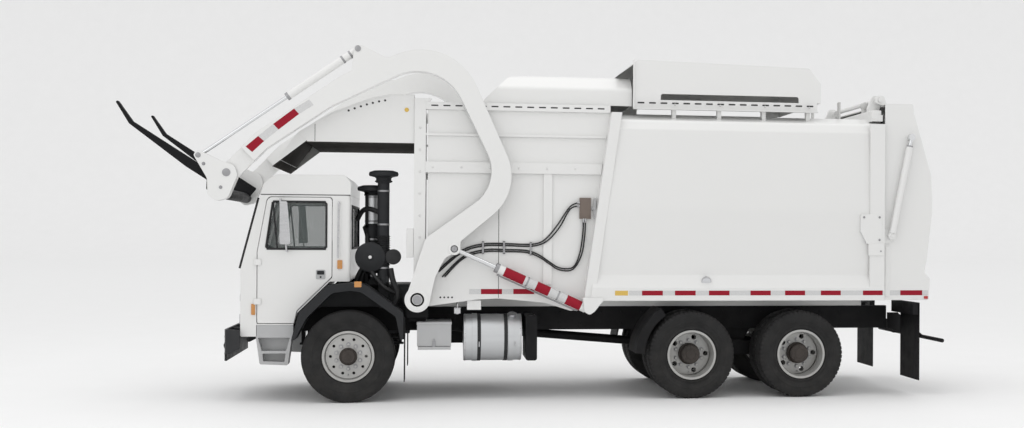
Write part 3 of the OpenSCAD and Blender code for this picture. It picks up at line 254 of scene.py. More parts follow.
DUST = (0.33, 0.3, 0.26)
WHITE = (0.76, 0.76, 0.75)
SMOOTH_PAINT = dict(tint=0.006, tint_scale=0.6, rough_spread=0.015, bump=0.02, bump_scale=40.0, edge_mm=5)
M = {
    "white": surface("white_paint", WHITE, 0.3, Coat_Weight=0.3, Coat_Roughness=0.1, **SMOOTH_PAINT),
    # the canopy's downward faces get a painted shade colour
    "canopy": surface("canopy_paint", WHITE, 0.34, painted_underside_shade=(0.05, 0.046, 0.042), Specular_IOR_Level=0.12,
        **SMOOTH_PAINT),
    "grey": surface("grey_paint", (0.6, 0.6, 0.59), 0.45, tint=0.06, edge_mm=4),
    "black": surface("black_paint", (0.009, 0.009, 0.01), 0.55, tint=0.3, edge_mm=4,
        dust=(DUST, 1.2, 0.03), Specular_IOR_Level=0.15),
    "charcoal": surface("charcoal_plastic", (0.02, 0.021, 0.023), 0.55, tint=0.12, bump=0.35,
        bump_scale=420.0, edge_mm=6, dust=(DUST, 1.2, 0.04), Specular_IOR_Level=0.25),
    "light": surface("light_grey_paint", (0.44, 0.445, 0.45), 0.42, tint=0.04, edge_mm=4,
        dust=(DUST, 1.0, 0.25)),
    "iron": surface("cast_iron", (0.05, 0.052, 0.055), 0.6, metallic=0.4, tint=0.25, bump=0.5,
        bump_scale=180.0, bump_mm=0.8, edge_mm=8),
    "steel": surface("bright_metal", (0.55, 0.55, 0.56), 0.32, metallic=1.0, tint=0.08, bump=0.1,
        stretch=(1, 1, 8)),
    "tank": surface("aluminium", (0.6, 0.61, 0.62), 0.42, metallic=0.85, tint=0.03, rough_spread=0.04,
        bump=0.05, bump_scale=40.0, bump_mm=0.1, stretch=(0.2, 6, 6), edge_mm=3),
    "chrome": surface("rod_chrome", (0.72, 0.73, 0.74), 0.12, metallic=1.0, tint=0.02, rough_spread=0.04),
    "rim": surface("rim_steel", (0.43, 0.43, 0.42), 0.42, metallic=0.45, tint=0.08, edge_mm=3,
        dust=(DUST, 1.4, 0.3)),
    "tyre": surface("tyre_rubber", (0.014, 0.014, 0.0145), 0.78, tint=0.2, tint_scale=6.0, bump=0.4,
        bump_scale=500.0, dust=(DUST, 1.6, 0.045), Specular_IOR_Level=0.3),
    "rubber": surface("hose_rubber", (0.012, 0.012, 0.013), 0.62, tint=0.2, bump=0.3),
    "hose": surface("hose_braid", (0.014, 0.014, 0.015), 0.55, tint=0.25, tint_scale=180.0, bump=0.5,
        bump_scale=320.0, bump_mm=0.6),
    "flap": surface("flap_rubber", (0.009, 0.009, 0.01), 0.75, tint=0.2, bump=0.4, dust=(DUST, 1.1, 0.05),
        Specular_IOR_Level=0.2),
    "dash": surface("dash_plastic", (0.05, 0.05, 0.055), 0.6, bump=0.5, bump_scale=500.0, edge_mm=6),
    "fabric": woven("seat_fabric", (0.06, 0.062, 0.068), 4.0),
    "glass": glazing("glass", (0.1, 0.125, 0.12), 0.03, 0.3),
    "mirror": surface("mirror_glass", (0.8, 0.82, 0.84), 0.03, metallic=1.0, tint=0.01, rough_spread=0.01,
        bump=0.0),
    "amber": lens("amber_lens", (0.62, 0.27, 0.06)),
    "red_lens": lens("red_lens", (0.5, 0.015, 0.015)),
    "clear_lens": lens("clear_lens", (0.75, 0.76, 0.78)),
    "red_tape": reflective_tape("red_tape", (0.29, 0.01, 0.024)),
    "white_tape": reflective_tape("white_tape", (0.6, 0.6, 0.6)),
    "yellow_tape": reflective_tape("yellow_tape", (0.66, 0.45, 0.12)),
    "bolt": surface("bolt_steel", (0.35, 0.35, 0.36), 0.4, metallic=0.9, tint=0.15),
    "hub": surface("hub_bronze", (0.042, 0.034, 0.029), 0.55, metallic=0.3, tint=0.25, edge_mm=2),
    "brown": surface("valve_box_paint", (0.16, 0.125, 0.105), 0.5, tint=0.12, edge_mm=3),
}
SLOT_LOOK = {
    "white_paint": "white", "grey_paint": "grey", "black_paint": "black", "charcoal_plastic": "charcoal",
    "glass": "glass", "dash_plastic": "dash", "seat_fabric": "fabric", "light_grey_paint": "light",
    "cast_iron": "iron", "bright_metal": "steel", "aluminium": "tank", "rod_chrome": "chrome",
    "rim_steel": "rim", "tyre_rubber": "tyre", "flap_rubber": "flap", "hose_rubber": "rubber",
}
LOOK_SLOT = {look: slot for slot, look in SLOT_LOOK.items()}
LOOK_SLOT["hose"] = "hose_rubber"
for part in frame["record"]["subparts"]:
    node = frame["nodes"][part["node"]]
    node.data.materials.clear()
    look = "canopy" if part["node"] == "canopy" else SLOT_LOOK[part["material_slot"]]
    node.data.materials.append(M[look])

# ---- building pieces ----


def frame_along(direction):
    """Two unit vectors at right angles to a direction."""
    side = Vector((0, 1, 0)) if abs(direction.y) < 0.9 else Vector((1, 0, 0))
    u = direction.cross(side).normalized()
    return u, direction.cross(u).normalized()


def ring_round(centre, u, v, radius, sides):
    """Points round a circle in the plane of two unit vectors."""
    return [centre + (u * math.cos(t) + v * math.sin(t)) * radius
            for t in (math.tau * i / sides for i in range(sides))]


class Shape:
    """A piece made of simple solids in millimetres from the front axle, all of one material."""

    def __init__(self, name, look, body="truck", slot=True):
        self.name, self.look, self.body = name, look, body
        self.slot = LOOK_SLOT.get(look) if slot else None
        self.mesh = bmesh.new()

    def loft(self, rings, closed_path=False):
        """Joins rings of points, and caps the two ends unless the path is closed."""
        made = [[self.mesh.verts.new(P(*point)) for point in ring] for ring in rings]
        count = len(made[0])
        pairs = list(zip(made, made[1:] + (made[:1] if closed_path else [])))
        for a, b in pairs:
            for i in range(count):
                j = (i + 1) % count
                self.mesh.faces.new((a[i], a[j], b[j], b[i]))
        if not closed_path:
            self.mesh.faces.new(list(reversed(made[0])))
            self.mesh.faces.new(made[-1])
        return self

    def box(self, x, y, z):
        """A block between pairs of values."""
        (x0, x1), (y0, y1), (z0, z1) = x, y, z
        ring = [(x0, y0), (x1, y0), (x1, y1), (x0, y1)]
        return self.loft([[(a, b, c) for a, b in ring] for c in (z0, z1)])

    def plate(self, outline, y0, y1):
        """An outline in X and Z between two places along Y."""
        return self.loft([[(x, y, z) for x, z in outline] for y in (y0, y1)])

    def section(self, outline, x0, x1):
        """An outline in Y and Z between two places along X."""
        return self.loft([[(x, y, z) for y, z in outline] for x in (x0, x1)])

    def plates(self, outline, inner, outer):
        """A plate on each side of the truck, between two distances from its middle."""
        for side in SIDES:
            self.plate(outline, side * inner, side * outer)

    def stripe(self, x0, x1, z0, z1, face, proud=PROUD):
        """Tape on a face on each side of the truck."""
        self.plates(cube_outline(x0, x1, z0, z1), face - 1, face + proud)

    def blocks(self, x, y, z):
        """A block on each side of the truck."""
        for side in SIDES:
            self.box(x, (side * y[0], side * y[1]), z)

    def discs(self, centre, profile, sides=40):
        """Rings facing outwards on each side of the truck."""
        for side in SIDES:
            self.lathe((centre[0], side * centre[1], centre[2]), (0, side, 0), profile, sides)

    def nuts(self, centre, across, height):
        """A nut facing outwards on each side of the truck."""
        for side in SIDES:
            self.nut((centre[0], side * centre[1], centre[2]), (0, side, 0), across, height)

    def lathe(self, centre, axis, profile, sides=40, closed=False):
        """Rings of the radii in profile, each at a distance along axis from centre."""
        axis = Vector(axis).normalized()
        u, v = frame_along(axis)
        rings = [ring_round(Vector(centre) + axis * along, u, v, radius, sides) for along, radius in profile]
        return self.loft(rings, closed)

    def bar(self, a, b, radius, sides=20):
        """A round bar with slightly chamfered ends."""
        a, b = Vector(a), Vector(b)
        length = (b - a).length
        cut = min(radius * 0.18, length * 0.2)
        return self.lathe(a, b - a, [(0, radius - cut), (cut, radius), (length - cut, radius),
                                     (length, radius - cut)], sides)

    def nut(self, centre, axis, across, height):
        """A hexagon nut with a washer."""
        self.lathe(centre, axis, [(0, across * 0.72), (height * 0.15, across * 0.72)], 20)
        return self.lathe(centre, axis, [(height * 0.15, across * 0.56), (height * 0.9, across * 0.56),
                                         (height, across * 0.48)], 6)

    def tube(self, points, radius, sides=10, closed=False):
        """A tube along points, which are smoothed first."""
        path = smooth_path([Vector(p) for p in points], closed)
        rings, u = [], None
        count = len(path)
        for i, point in enumerate(path):
            after = path[(i + 1) % count] if closed or i + 1 < count else point
            before = path[i - 1] if closed or i > 0 else point
            direction = (after - before).normalized()
            u = frame_along(direction)[0] if u is None else (u - direction * u.dot(direction)).normalized()
            v = direction.cross(u)
            rings.append(ring_round(point, u, v, radius, sides))
        return self.loft(rings, closed)

    def done(self, bevel_mm=0.0, angle=35):
        """Makes the object, rides it on its body and returns it."""
        bmesh.ops.recalc_face_normals(self.mesh, faces=self.mesh.faces[:])
        data = bpy.data.meshes.new(self.name)
        self.mesh.to_mesh(data)
        self.mesh.free()
        data.shade_smooth()
        data.set_sharp_from_angle(angle=math.radians(angle))
        data.materials.append(M[self.look])
        made = place_object(self.name, data)
        if bevel_mm:
            bevel = made.modifiers.new("bevel", "BEVEL")
            bevel.width = bevel_mm * MM
            bevel.segments = 2
            bevel.limit_method = "ANGLE"
            bevel.angle_limit = math.radians(40)
            bevel.harden_normals = True
        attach(made, self.body)
        return made


def place_object(name, data):
    made = bpy.data.objects.new(name, data)
    bpy.context.scene.collection.objects.link(made)
    return made


def smooth_path(points, closed=False, steps=5):
    """Points on a smooth curve through the given ones."""
    if len(points) < 3:
        return points
    count = len(points)
    made = []
    for i in range(count if closed else count - 1):
        a = points[i - 1] if closed or i else points[0]
        b, c = points[i], points[(i + 1) % count]
        d = points[(i + 2) % count] if closed or i + 2 < count else points[-1]
        for k in range(steps):
            t = k / steps
            made.append(0.5 * (2 * b + (c - a) * t + (2 * a - 5 * b + 4 * c - d) * t * t
                               + (3 * b - a - 3 * c + d) * t ** 3))
    return made if closed else made + [points[-1]]


def rounded(outline, radius, steps=5):
    """A closed outline of 2-D points with its corners rounded."""
    made = []
    for i, corner in enumerate(outline):
        b = Vector(corner)
        a, c = Vector(outline[i - 1]), Vector(outline[(i + 1) % len(outline)])
        u, v = (a - b).normalized(), (c - b).normalized()
        half = u.angle(v) / 2
        reach = min(radius / math.tan(half), (a - b).length * 0.45, (c - b).length * 0.45)
        for t in (k / steps for k in range(steps + 1)):
            made.append(tuple((b + u * reach) * (1 - t) ** 2 + 2 * b * t * (1 - t) + (b + v * reach) * t * t))
    return made


def cube_outline(x0, x1, z0, z1):
    return [(x0, z0), (x1, z0), (x1, z1), (x0, z1)]


def panel(x0, x1, z0, z1, radius, steps=5):
    """A rectangle with rounded corners."""
    return rounded(cube_outline(x0, x1, z0, z1), radius, steps)


def around(centre, radius, count, start=0.0):
    """Places evenly round a circle that faces sideways."""
    turns = [math.tau * (i + start) / count for i in range(count)]
    return [(centre[0] + radius * math.cos(t), centre[1], centre[2] + radius * math.sin(t)) for t in turns]


# ---- tyres ----
BEAD_R = 287


def tyre_section(radius, width, grooves, groove_depth):
    """Half of a tyre's section as (distance from its middle plane, radius, zone), from bead to crown."""
    half = width / 2
    wall = [(105, BEAD_R), (108, BEAD_R + 8), (110, BEAD_R + 22), (126, BEAD_R + 30), (128, BEAD_R + 34),
            (half - 22, BEAD_R + 62), (half - 9, radius - 150), (half - 4, radius - 128),
            (half - 1.5, radius - 125), (half - 1.5, radius - 119), (half - 3.5, radius - 116),
            (half, radius - 92), (half - 3, radius - 66), (half - 9, radius - 44)]
    points = [(y, r, "wall") for y, r in wall]
    points += [(half - 14, radius - 30, "shoulder"), (half - 20, radius - 12, "shoulder"),
               (half - 34, radius - 3, "shoulder")]
    for centre, gap in sorted(grooves, reverse=True):
        points += [(centre + gap, radius, "shoulder" if centre == max(grooves)[0] else "crown"),
                   (centre + gap * 0.6, radius - groove_depth, "floor"),
                   (centre - gap * 0.6, radius - groove_depth, "floor"), (centre - gap, radius, "crown")]
    return points


def tyre(shape, centre, side, radius, width, grooves, blocks, cut_share, cut_depth):
    """Adds one tyre to shape, with its tread's blocks cut across the shoulders."""
    half = tyre_section(radius, width, grooves, 13)
    section = half + [(-y, r, zone) for y, r, zone in reversed(half)]
    rings = []
    for block in range(blocks):
        for share, cut in ((0.0, False), (1 - cut_share, False), (1 - cut_share * 0.85, True),
                           (1 - cut_share * 0.15, True)):
            turn = math.tau * (block + share) / blocks
            ring = []
            for y, r, zone in section:
                skew = 0.35 * math.tau / blocks if y < 0 else 0.0
                depth = cut_depth if cut and zone == "shoulder" else 0
                ring.append((centre[0] + (r - depth) * math.cos(turn + skew), centre[1] + side * y,
                             centre[2] + (r - depth) * math.sin(turn + skew)))
            rings.append(ring)
    shape.loft(rings, closed_path=True)


def tyre_size(node):
    """The middle, radius and span along Y of a node's tyres."""
    low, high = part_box(node)
    return millimetres((low + high) / 2), (high.z - low.z) / 2 / MM, (high.y - low.y) / MM


def build_tyres():
    for name, side in NAMED_SIDES:
        centre, radius, width = tyre_size(f"front_tyre_{name}")
        shape = Shape(f"front_tyre_tread_{name}", "tyre", f"front_wheel_{name}")
        tyre(shape, centre, side, radius, width, [(18, 6), (62, 6), (98, 5)], 72, 0.16, 7)
        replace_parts(shape.done(angle=28), f"front_tyre_{name}")
        for axle in ("mid", "rear"):
            centre, radius, span = tyre_size(f"{axle}_tyres_{name}")
            width = 280
            shape = Shape(f"{axle}_tyre_treads_{name}", "tyre", f"{axle}_wheels_{name}")
            for offset in (-(span - width) / 2, (span - width) / 2):
                place = (centre[0], centre[1] + offset, centre[2])
                tyre(shape, place, side, radius, width, [(22, 6), (72, 7)], 60, 0.3, 9)
            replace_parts(shape.done(angle=28), f"{axle}_tyres_{name}")


def front_wheel_details(name, side):
    face, out = side * FRONT_WHEEL_FACE, (0, side, 0)
    nuts = Shape(f"front_wheel_nuts_{name}", "bolt", f"front_wheel_{name}")
    for place in around((0, face, HUB_Z), 143, 10, 0.5):
        nuts.nut(place, out, 36, 24)
    nuts.tube([(0, face + side * out_by, HUB_Z - down)
               for out_by, down in ((-20, 225), (8, 218), (26, 205))], 5)
    nuts.done()
    hub = Shape(f"front_hub_cover_{name}", "hub", f"front_wheel_{name}")
    hub.lathe((0, face, HUB_Z), out, [(22, 100), (30, 104), (36, 100), (37, 88), (66, 84), (78, 74),
                                      (79, 30), (82, 28), (82, 1)], 48)
    for place in around((0, face + side * 35, HUB_Z), 94, 8):
        hub.nut(place, out, 13, 9)
    hub.done(angle=30)


def rear_wheel_details(name, side, axle, x, z):
    seat, out = side * REAR_WHEEL_SEAT, (0, side, 0)
    nuts = Shape(f"{axle}_wheel_nuts_{name}", "bolt", f"{axle}_wheels_{name}")
    for place in around((x, seat, z), 167.5, 10, 0.5):
        nuts.nut(place, out, 38, 32)
    nuts.tube([(x, seat + side * out_by, z - down) for out_by, down in ((6, 222), (50, 226), (96, 212))], 5)
    nuts.done()
    hub = Shape(f"{axle}_hub_cover_{name}", "hub", f"{axle}_wheels_{name}")
    hub.lathe((x, seat, z), out, [(4, 131), (45, 131), (50, 118), (60, 108), (120, 104), (124, 114),
                                  (142, 114), (146, 106), (153, 104), (155, 60), (160, 56), (162, 1)], 48)
    for place in around((x, seat + side * 142, z), 84, 8):
        hub.nut(place, out, 15, 20)
    hub.done(angle=30)


def build_wheel_details():
    """Nuts, hub covers and valves."""
    for name, side in NAMED_SIDES:
        front_wheel_details(name, side)
        for axle, place in (("mid", MID_AXLE), ("rear", REAR_AXLE)):
            rear_wheel_details(name, side, axle, place.x, place.z)


# ---- cab ----
WINDOW = [(-958, 1795), (-880, 2350), (-268, 2350), (-268, 1795)]
SCREEN = [(-880, 1650), (-830, 2385), (830, 2385), (880, 1650)]
REAR_WINDOW = [(-700, 1800), (-700, 2310), (700, 2310), (700, 1800)]


def screen_x(z):
    """The windscreen's outer face at height z."""
    return CAB_FRONT + (z - 1560) * 221 / 870


def build_doors():
    for name, side in NAMED_SIDES:
        body = f"door_{name}"
        y = side * CAB_Y
        seal = Shape(f"door_window_seal_{name}", "rubber", body)
        outline = rounded(WINDOW, 50, 6)
        seal.tube([(x, y - side * 2, z) for x, z in outline], 13, 8, closed=True)
        seal.plate([(-889, 2352), (-872, 2352), (-818, 1793), (-835, 1793)], y - side * 30, y - side * 8)
        seal.done()
        bezel = Shape(f"door_handle_bezel_{name}", "light", body)
        bezel.plate(panel(-385, -277, 1440, 1552, 18), y - side * 1, y + side * 5)
        bezel.done(1.5)
        handle = Shape(f"door_handle_{name}", "charcoal", body)
        handle.plate(panel(-372, -290, 1495, 1540, 12), y + side * 4, y + side * 13)
        handle.lathe((-331, y + side * 4, 1466), (0, side, 0), [(0, 11), (5, 11), (6, 9)], 24)
        handle.done(1.5)
        mirror = Shape(f"mirror_glass_{name}", "mirror", body)
        mirror.loft([[(-705, side * ya, 2328), (-668, side * ya, 1872), (-664, side * ya, 1872),
                      (-701, side * ya, 2328)] for ya in (1081, 1139)])
        mirror.done()
        trim = Shape(f"door_lining_{name}", "dash", body)
        trim.plate(rounded([(-990, 985), (-990, 1730), (-265, 1730), (-265, 1508), (-648, 1118),
                            (-672, 985)], 30), y - side * 46, y - side * 38)
        trim.plate(panel(-800, -420, 1520, 1580, 20), y - side * 80, y - side * 45)
        trim.done(3)


def build_cab_seals():
    """Window seals, and the dark seams round the front panel."""
    seals = Shape("cab_window_seals", "rubber")
    seals.tube([(screen_x(z) - 1, y, z) for y, z in rounded(SCREEN, 60, 6)], 13, 8, closed=True)
    seals.tube([(10, y, z) for y, z in rounded(REAR_WINDOW, 60, 6)], 13, 8, closed=True)
    seam = (CAB_FRONT - 2, CAB_FRONT + 6)
    for side in SIDES:
        seals.tube([(screen_x(z) - 16, side * 946, z) for z in (1566, 1750, 2000, 2200, 2392)], 15)
        seals.box(seam, (side * 900 - 3, side * 900 + 3), (890, 1541))
    for z in ((1537, 1545), (888, 894)):
        seals.box(seam, (-905, 905), z)
    seals.done()


def build_grille():
    grille = Shape("grille", "charcoal")
    grille.section(panel(-500, 500, 930, 1330, 30), CAB_FRONT - 3, CAB_FRONT + 5)
    for i in range(8):
        z = 965 + i * 45
        grille.section([(-470, z), (-470, z + 16), (470, z + 16), (470, z)], CAB_FRONT - 17, CAB_FRONT - 2)
    for y in (-700, 700):
        grille.section(panel(y - 165, y + 165, 896, 1275, 25), CAB_FRONT - 10, CAB_FRONT + 5)
    grille.done(2.5)


def build_cab_lamps():
    lamps = Shape("headlamps", "clear_lens")
    for side in SIDES:
        for y in (side * 620, side * 780):
            lamps.section(panel(y - 68, y + 68, 905, 1025, 18), CAB_FRONT - 30, CAB_FRONT - 6)
        y = side * 700
        lamps.section(panel(y - 130, y + 130, 1175, 1255, 18), CAB_FRONT - 28, CAB_FRONT - 6)
    lamps.done(3)
    amber = Shape("cab_marker_lamps", "amber")
    amber.plates(panel(-1117, -1072, 1023, 1152, 10), CAB_Y - 1, CAB_Y + 14)
    amber.plates(panel(-141, -82, 1562, 1666, 10), CAB_Y - 1, CAB_Y + 16)
    amber.plates(panel(66, 150, 1352, 1420, 10), 1150, 1186)
    for y in (-700, -250, 0, 250, 700):
        amber.section(panel(y - 55, y + 55, 2500, 2536, 12), -1028, -1000)
    amber.done(3)


def build_cab_fittings():
    """Grab rods, wipers, the roof's joint and the steps' treads."""
    rods = Shape("grab_rods", "steel")
    for side in SIDES:
        y = side * (CAB_Y + 42)
        rods.tube([(-120, side * CAB_Y, 2335), (-122, y - side * 8, 2335), (-124, y, 2322), (-128, y, 2000),
                   (-131, y, 1722), (-132, y - side * 8, 1708), (-132, side * CAB_Y, 1708)], 11)
    rods.done()
    wipers = Shape("wipers", "rubber")
    for y in (-560, 140):
        end = y + 380
        wipers.bar((screen_x(1615) - 16, y, 1615), (screen_x(1720) - 22, end, 1720), 8, 10)
        wipers.bar((screen_x(1680) - 14, end - 330, 1668), (screen_x(1760) - 14, end + 260, 1772), 6, 8)
        wipers.lathe((screen_x(1615) - 20, y, 1615), (1, 0, 0), [(0, 20), (22, 22)], 20)
    wipers.done()
    joints = Shape("cab_roof_joint", "rubber")
    joints.blocks((-1018, 6), (984, 991.5), (2426, 2436))
    joints.done()
    treads = Shape("step_treads", "bolt")
    for z in (600, 772):
        for x in range(-1000, -727, 34):
            treads.blocks((x, x + 14), (880, 976), (z, z + 6))
    treads.done(1)


def build_engine_bay():
    """Pipes, hoses and clamps behind the cab."""
    pipes = Shape("engine_hoses", "rubber")
    for shift in range(3):
        y = -620 + 70 * shift
        pipes.tube([(100 + 60 * shift, y, 1120), (60 + 50 * shift, y - 60, 1400),
                    (150 + 40 * shift, y - 90, 1620), (190 + 70 * shift, y - 40, 1900),
                    (150 + 60 * shift, y + 80, 2060)], 26 + 6 * shift, 14)
    pipes.tube([(520, -880, 1140), (560, -900, 1260), (500, -860, 1420), (470, -820, 1560)], 34, 14)
    pipes.tube([(240, -860, 1540), (330, -900, 1420), (420, -930, 1330), (560, -860, 1250),
                (600, -760, 1150)], 24)
    pipes.tube([(60, -500, 2150), (120, -560, 2250), (200, -640, 2280), (330, -700, 2240)], 30, 14)
    for i in range(14):
        pipes.lathe((383, -800, 1600 + i * 26), (0, 0, 1), [(0, 72), (9, 84), (18, 72)], 36)
    # the second drum, behind the first
    pipes.lathe((501, -880, 1703), (0, 1, 0), [(0, 60), (8, 92), (150, 92), (158, 60)], 40)
    pipes.done(angle=40)
    drum = Shape("air_cleaner_ends", "charcoal")
    drum.lathe((233, -871, 1700), (0, -1, 0), [(0, 176), (10, 178), (16, 168), (20, 120), (26, 110), (28, 40),
                                              (34, 36)], 56)
    for z, x, y in ((2598, 383, -800), (2440, 245, -560)):
        drum.lathe((x, y, z), (0, 0, 1), [(0, 96), (4, 104), (14, 104), (18, 96)], 48)
    drum.done(angle=35)
    cap = Shape("air_cleaner_wing_nut", "white", slot=False)
    cap.lathe((233, -903, 1700), (0, -1, 0), [(0, 20), (9, 20), (12, 12)], 20)
    cap.done()
    bands = Shape("stack_bands", "bolt")
    for z, r in ((2120, 91), (2410, 91), (1900, 88.5), (1460, 45.5)):
        bands.lathe((245, -560, z), (0, 0, 1), [(0, r), (2, r + 2), (22, r + 2), (24, r)], 40)
    for z in (1560, 2080, 2480):
        bands.lathe((383, -800, z), (0, 0, 1), [(0, 71), (2, 73.5), (20, 73.5), (22, 71)], 40)
    bands.done()
    shield = Shape("stack_heat_shield", "tank")
    shield.lathe((245, -560, 2100), (0, 0, 1), [(0, 88.5), (0, 91), (340, 91), (340, 88.5)], 56)
    shield.done(angle=30)
    frames = Shape("stack_frame", "black")
    for z in (1500, 2050, 2440):
        frames.box((150, 420), (-640, -600), (z, z + 40))
    for x in (160, 380):
        frames.box((x, x + 40), (-640, -600), (1126, 2480))
    frames.bar((180, -620, 1150), (180, 560, 1150), 30)
    frames.done(2)


# ---- tape and lamps ----
RED_STARTS = [3459, 3863, 4283, 4800, 5235, 5690, 6230]
RED_LENGTH = 255


def build_side_tape():
    """Reflective stripes along the body and the hopper."""
    red = Shape("side_tape_red", "red_tape")
    white = Shape("side_tape_white", "white_tape")
    yellow = Shape("side_tape_yellow", "yellow_tape")
    white.stripe(3300, 6500, 1254, 1312, BODY_Y, UNDER)
    yellow.stripe(3131, 3289, 1254, 1312, BODY_Y)
    for x in RED_STARTS:
        red.stripe(x, x + RED_LENGTH, 1254, 1312, BODY_Y)
    for x in (1540, 1925):
        red.stripe(x, x + 250, 1264, 1326, HOPPER_Y)
    white.stripe(1400, 2300, 1264, 1326, HOPPER_Y, UNDER)
    red.done()
    white.done()
    yellow.done()


def build_gate_tape():
    red = Shape("gate_tape_red", "red_tape", "tailgate")
    white = Shape("gate_tape_white", "white_tape", "tailgate")
    red.stripe(6736, 7024, 1250, 1312, GATE_Y)
    white.stripe(6550, 7100, 1250, 1312, GATE_Y, UNDER)
    for i in range(-3, 4):
        look = red if i % 2 else white
        look.section(cube_outline(i * 290 - 145, i * 290 + 145, 1330, 1390), 7118, 7125.4)
    red.done()
    white.done()


def build_arm_tape():
    red = Shape("arm_tape_red", "red_tape", "lift_arms")
    white = Shape("arm_tape_white", "white_tape", "lift_arms")
    ends = [((-1156, 2970), (-1083, 2908)), ((-1018, 3093), (-951, 3036)), ((-852, 3234), (-791, 3171)),
            ((-619, 3417), (-563, 3355)), ((-450, 3525), (-400, 3462))]
    for i, (a, b) in enumerate(zip(ends, ends[1:])):
        look = white if i % 2 else red
        look.plates([a[0], b[0], b[1], a[1]], ARM_FACE - 1, ARM_FACE + PROUD)
    red.done()
    white.done()


FOOT = Vector((2822, 0, 1083))
LUG = Vector((1218, 0, 1806))
FORK_LUG = Vector((96, 0, 4130))
CRANK_EYE = Vector((-1680, 0, 2865))
GATE_FOOT = Vector((BODY_END + 90, 0, 1990))
GATE_PIN = Vector((BODY_END + 340, 0, 3220))


def sleeve(shape, start, end, y, a, b, radius, lip=0.0, wall=2.0):
    """An open sleeve round a cylinder's axis between two distances from start."""
    axis = (end - start).normalized()
    for side in SIDES:
        centre = start + axis * a + Vector((0, side * y, 0))
        profile = [(0, radius - wall), (0, radius - lip), (lip, radius), (b - a - lip, radius),
                   (b - a, radius - lip), (b - a, radius - wall)]
        shape.lathe(centre, axis, profile, 48, closed=True)


def build_cylinder_tape():
    for name, look, radius, spans in (
            ("red", "red_tape", 57.9, ((110, 303), (526, 696), (854, 1110))),
            ("white", "white_tape", 57.7, ((303, 526), (696, 854)))):
        tape = Shape(f"cylinder_tape_{name}", look, "arm_barrels")
        for a, b in spans:
            sleeve(tape, FOOT, LUG, ARM_MID, a, b, radius)
        tape.done()


def build_glands():
    """The cylinders' end rings, and the line and its clamps along each arm cylinder."""
    glands = Shape("arm_cylinder_glands", "bolt", "arm_barrels")
    sleeve(glands, FOOT, LUG, ARM_MID, 1180, 1229, 59, 4, 14)
    axis = (LUG - FOOT).normalized()
    under = Vector((-axis.z, 0, axis.x))
    for side in SIDES:
        base = FOOT + Vector((0, side * ARM_MID, 0))
        line = ((120, 50), (150, 72), (300, 74), (1100, 74), (1150, 66), (1160, 50))
        glands.tube([base + axis * along + under * down for along, down in line], 9)
        for d in (400, 800):
            glands.lathe(base + axis * d, axis, [(0, 59), (3, 60), (18, 60), (21, 59)], 40)
    glands.done()
    fork = Shape("fork_cylinder_glands", "bolt", "fork_barrels")
    for a, b, radius, wall in ((955, 993, 48, 12), (95, 120, 48.5, 2), (200, 225, 48.5, 2)):
        sleeve(fork, FORK_LUG, CRANK_EYE, ARM_MID, a, b, radius, 3, wall)
    fork.done()
    gate = Shape("gate_cylinder_glands", "bolt", "tailgate_barrels")
    sleeve(gate, GATE_FOOT, GATE_PIN, 1222, 1128, 1150, 38, 3, 8)
    gate.done()


def build_arms():
    """Pin ends and boss rings on the arms and the fork cranks."""
    pins = Shape("arm_pins", "bolt", "lift_arms")
    pins.discs((792, ARM_FACE + 1, 1208), [(0, 58), (7, 56), (8, 40), (8.5, 1)])
    pins.discs((1218, ARM_FACE, 1806), [(0, 34), (5, 34), (7, 28), (7.5, 1)], 32)
    pins.discs((96, ARM_FACE, 4130), [(0, 36), (5, 36), (7, 28), (7.5, 1)], 32)
    pins.done(angle=30)
    rings = Shape("arm_boss_rings", "white", "lift_arms")
    rings.discs((792, ARM_FACE - 1, 1208), [(0, 128), (5, 126), (6, 82), (1, 80)], 56)
    rings.discs((1218, ARM_FACE - 1, 1806), [(0, 74), (4, 72), (5, 44), (1, 42)])
    rings.done(angle=30)
    crank_pins = Shape("crank_pins", "bolt", "forks")
    crank_pins.discs((-1369, 1243, 2672), [(0, 46), (6, 46), (8, 38), (8.5, 1)], 36)
    crank_pins.discs((-1680, 1244, 2865), [(0, 30), (5, 30), (7, 24), (7.5, 1)], 32)
    crank_pins.nuts((-1619, 1244, 2767), 28, 12)
    crank_pins.nuts((-1430, 1244, 2500), 28, 12)
    crank_pins.done(angle=30)


# ---- hoses ----
HOSE_R = 9


def hose_route(rising, i):
    """The points of part.scad's hoses: a rising pair, and a pair that hangs in a loop."""
    low, high = -HOPPER_Y - HOSE_R - 2, -HOPPER_Y - 25 - HOSE_R - 1
    if rising:
        return [(1040 - 30 * i, low, 1530), (1310, low, 1760 + 24 * i), (1560, low, 1840 + 24 * i),
                (1850, low, 1845 + 24 * i), (2080, low, 1838 + 24 * i), (2230, high, 1858 + 24 * i),
                (2350 - 16 * i, high, 1925 + 30 * i), (2480 - 30 * i, high, 2080 + 20 * i),
                (2600, high, 2290 + 30 * i), (2716, high, 2330 + 40 * i)]
    return [(1080 + 30 * i, low, 1470), (1330, low, 1715 - 24 * i), (1580, low, 1795 - 24 * i),
            (1850, low, 1798 - 24 * i), (2080, low, 1788 - 24 * i), (2230, high, 1735 - 24 * i),
            (2350, high, 1655 - 24 * i), (2480, high, 1580 - 24 * i), (2640, high, 1590 - 24 * i),
            (2720 + 24 * i, high, 1760 - 12 * i), (2755 + 26 * i, high, 2000), (2760 + 26 * i, high, 2165)]


def build_hoses():
    for rising in (True, False):
        for i in range(2):
            route = hose_route(rising, i)
            kind = "rising" if rising else "loop"
            hose = Shape(f"hose_{kind}_{i + 1}", "hose").tube(route, HOSE_R, 14).done(angle=60)
            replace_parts(hose, "hydraulic_lines")


# ---- seats ----


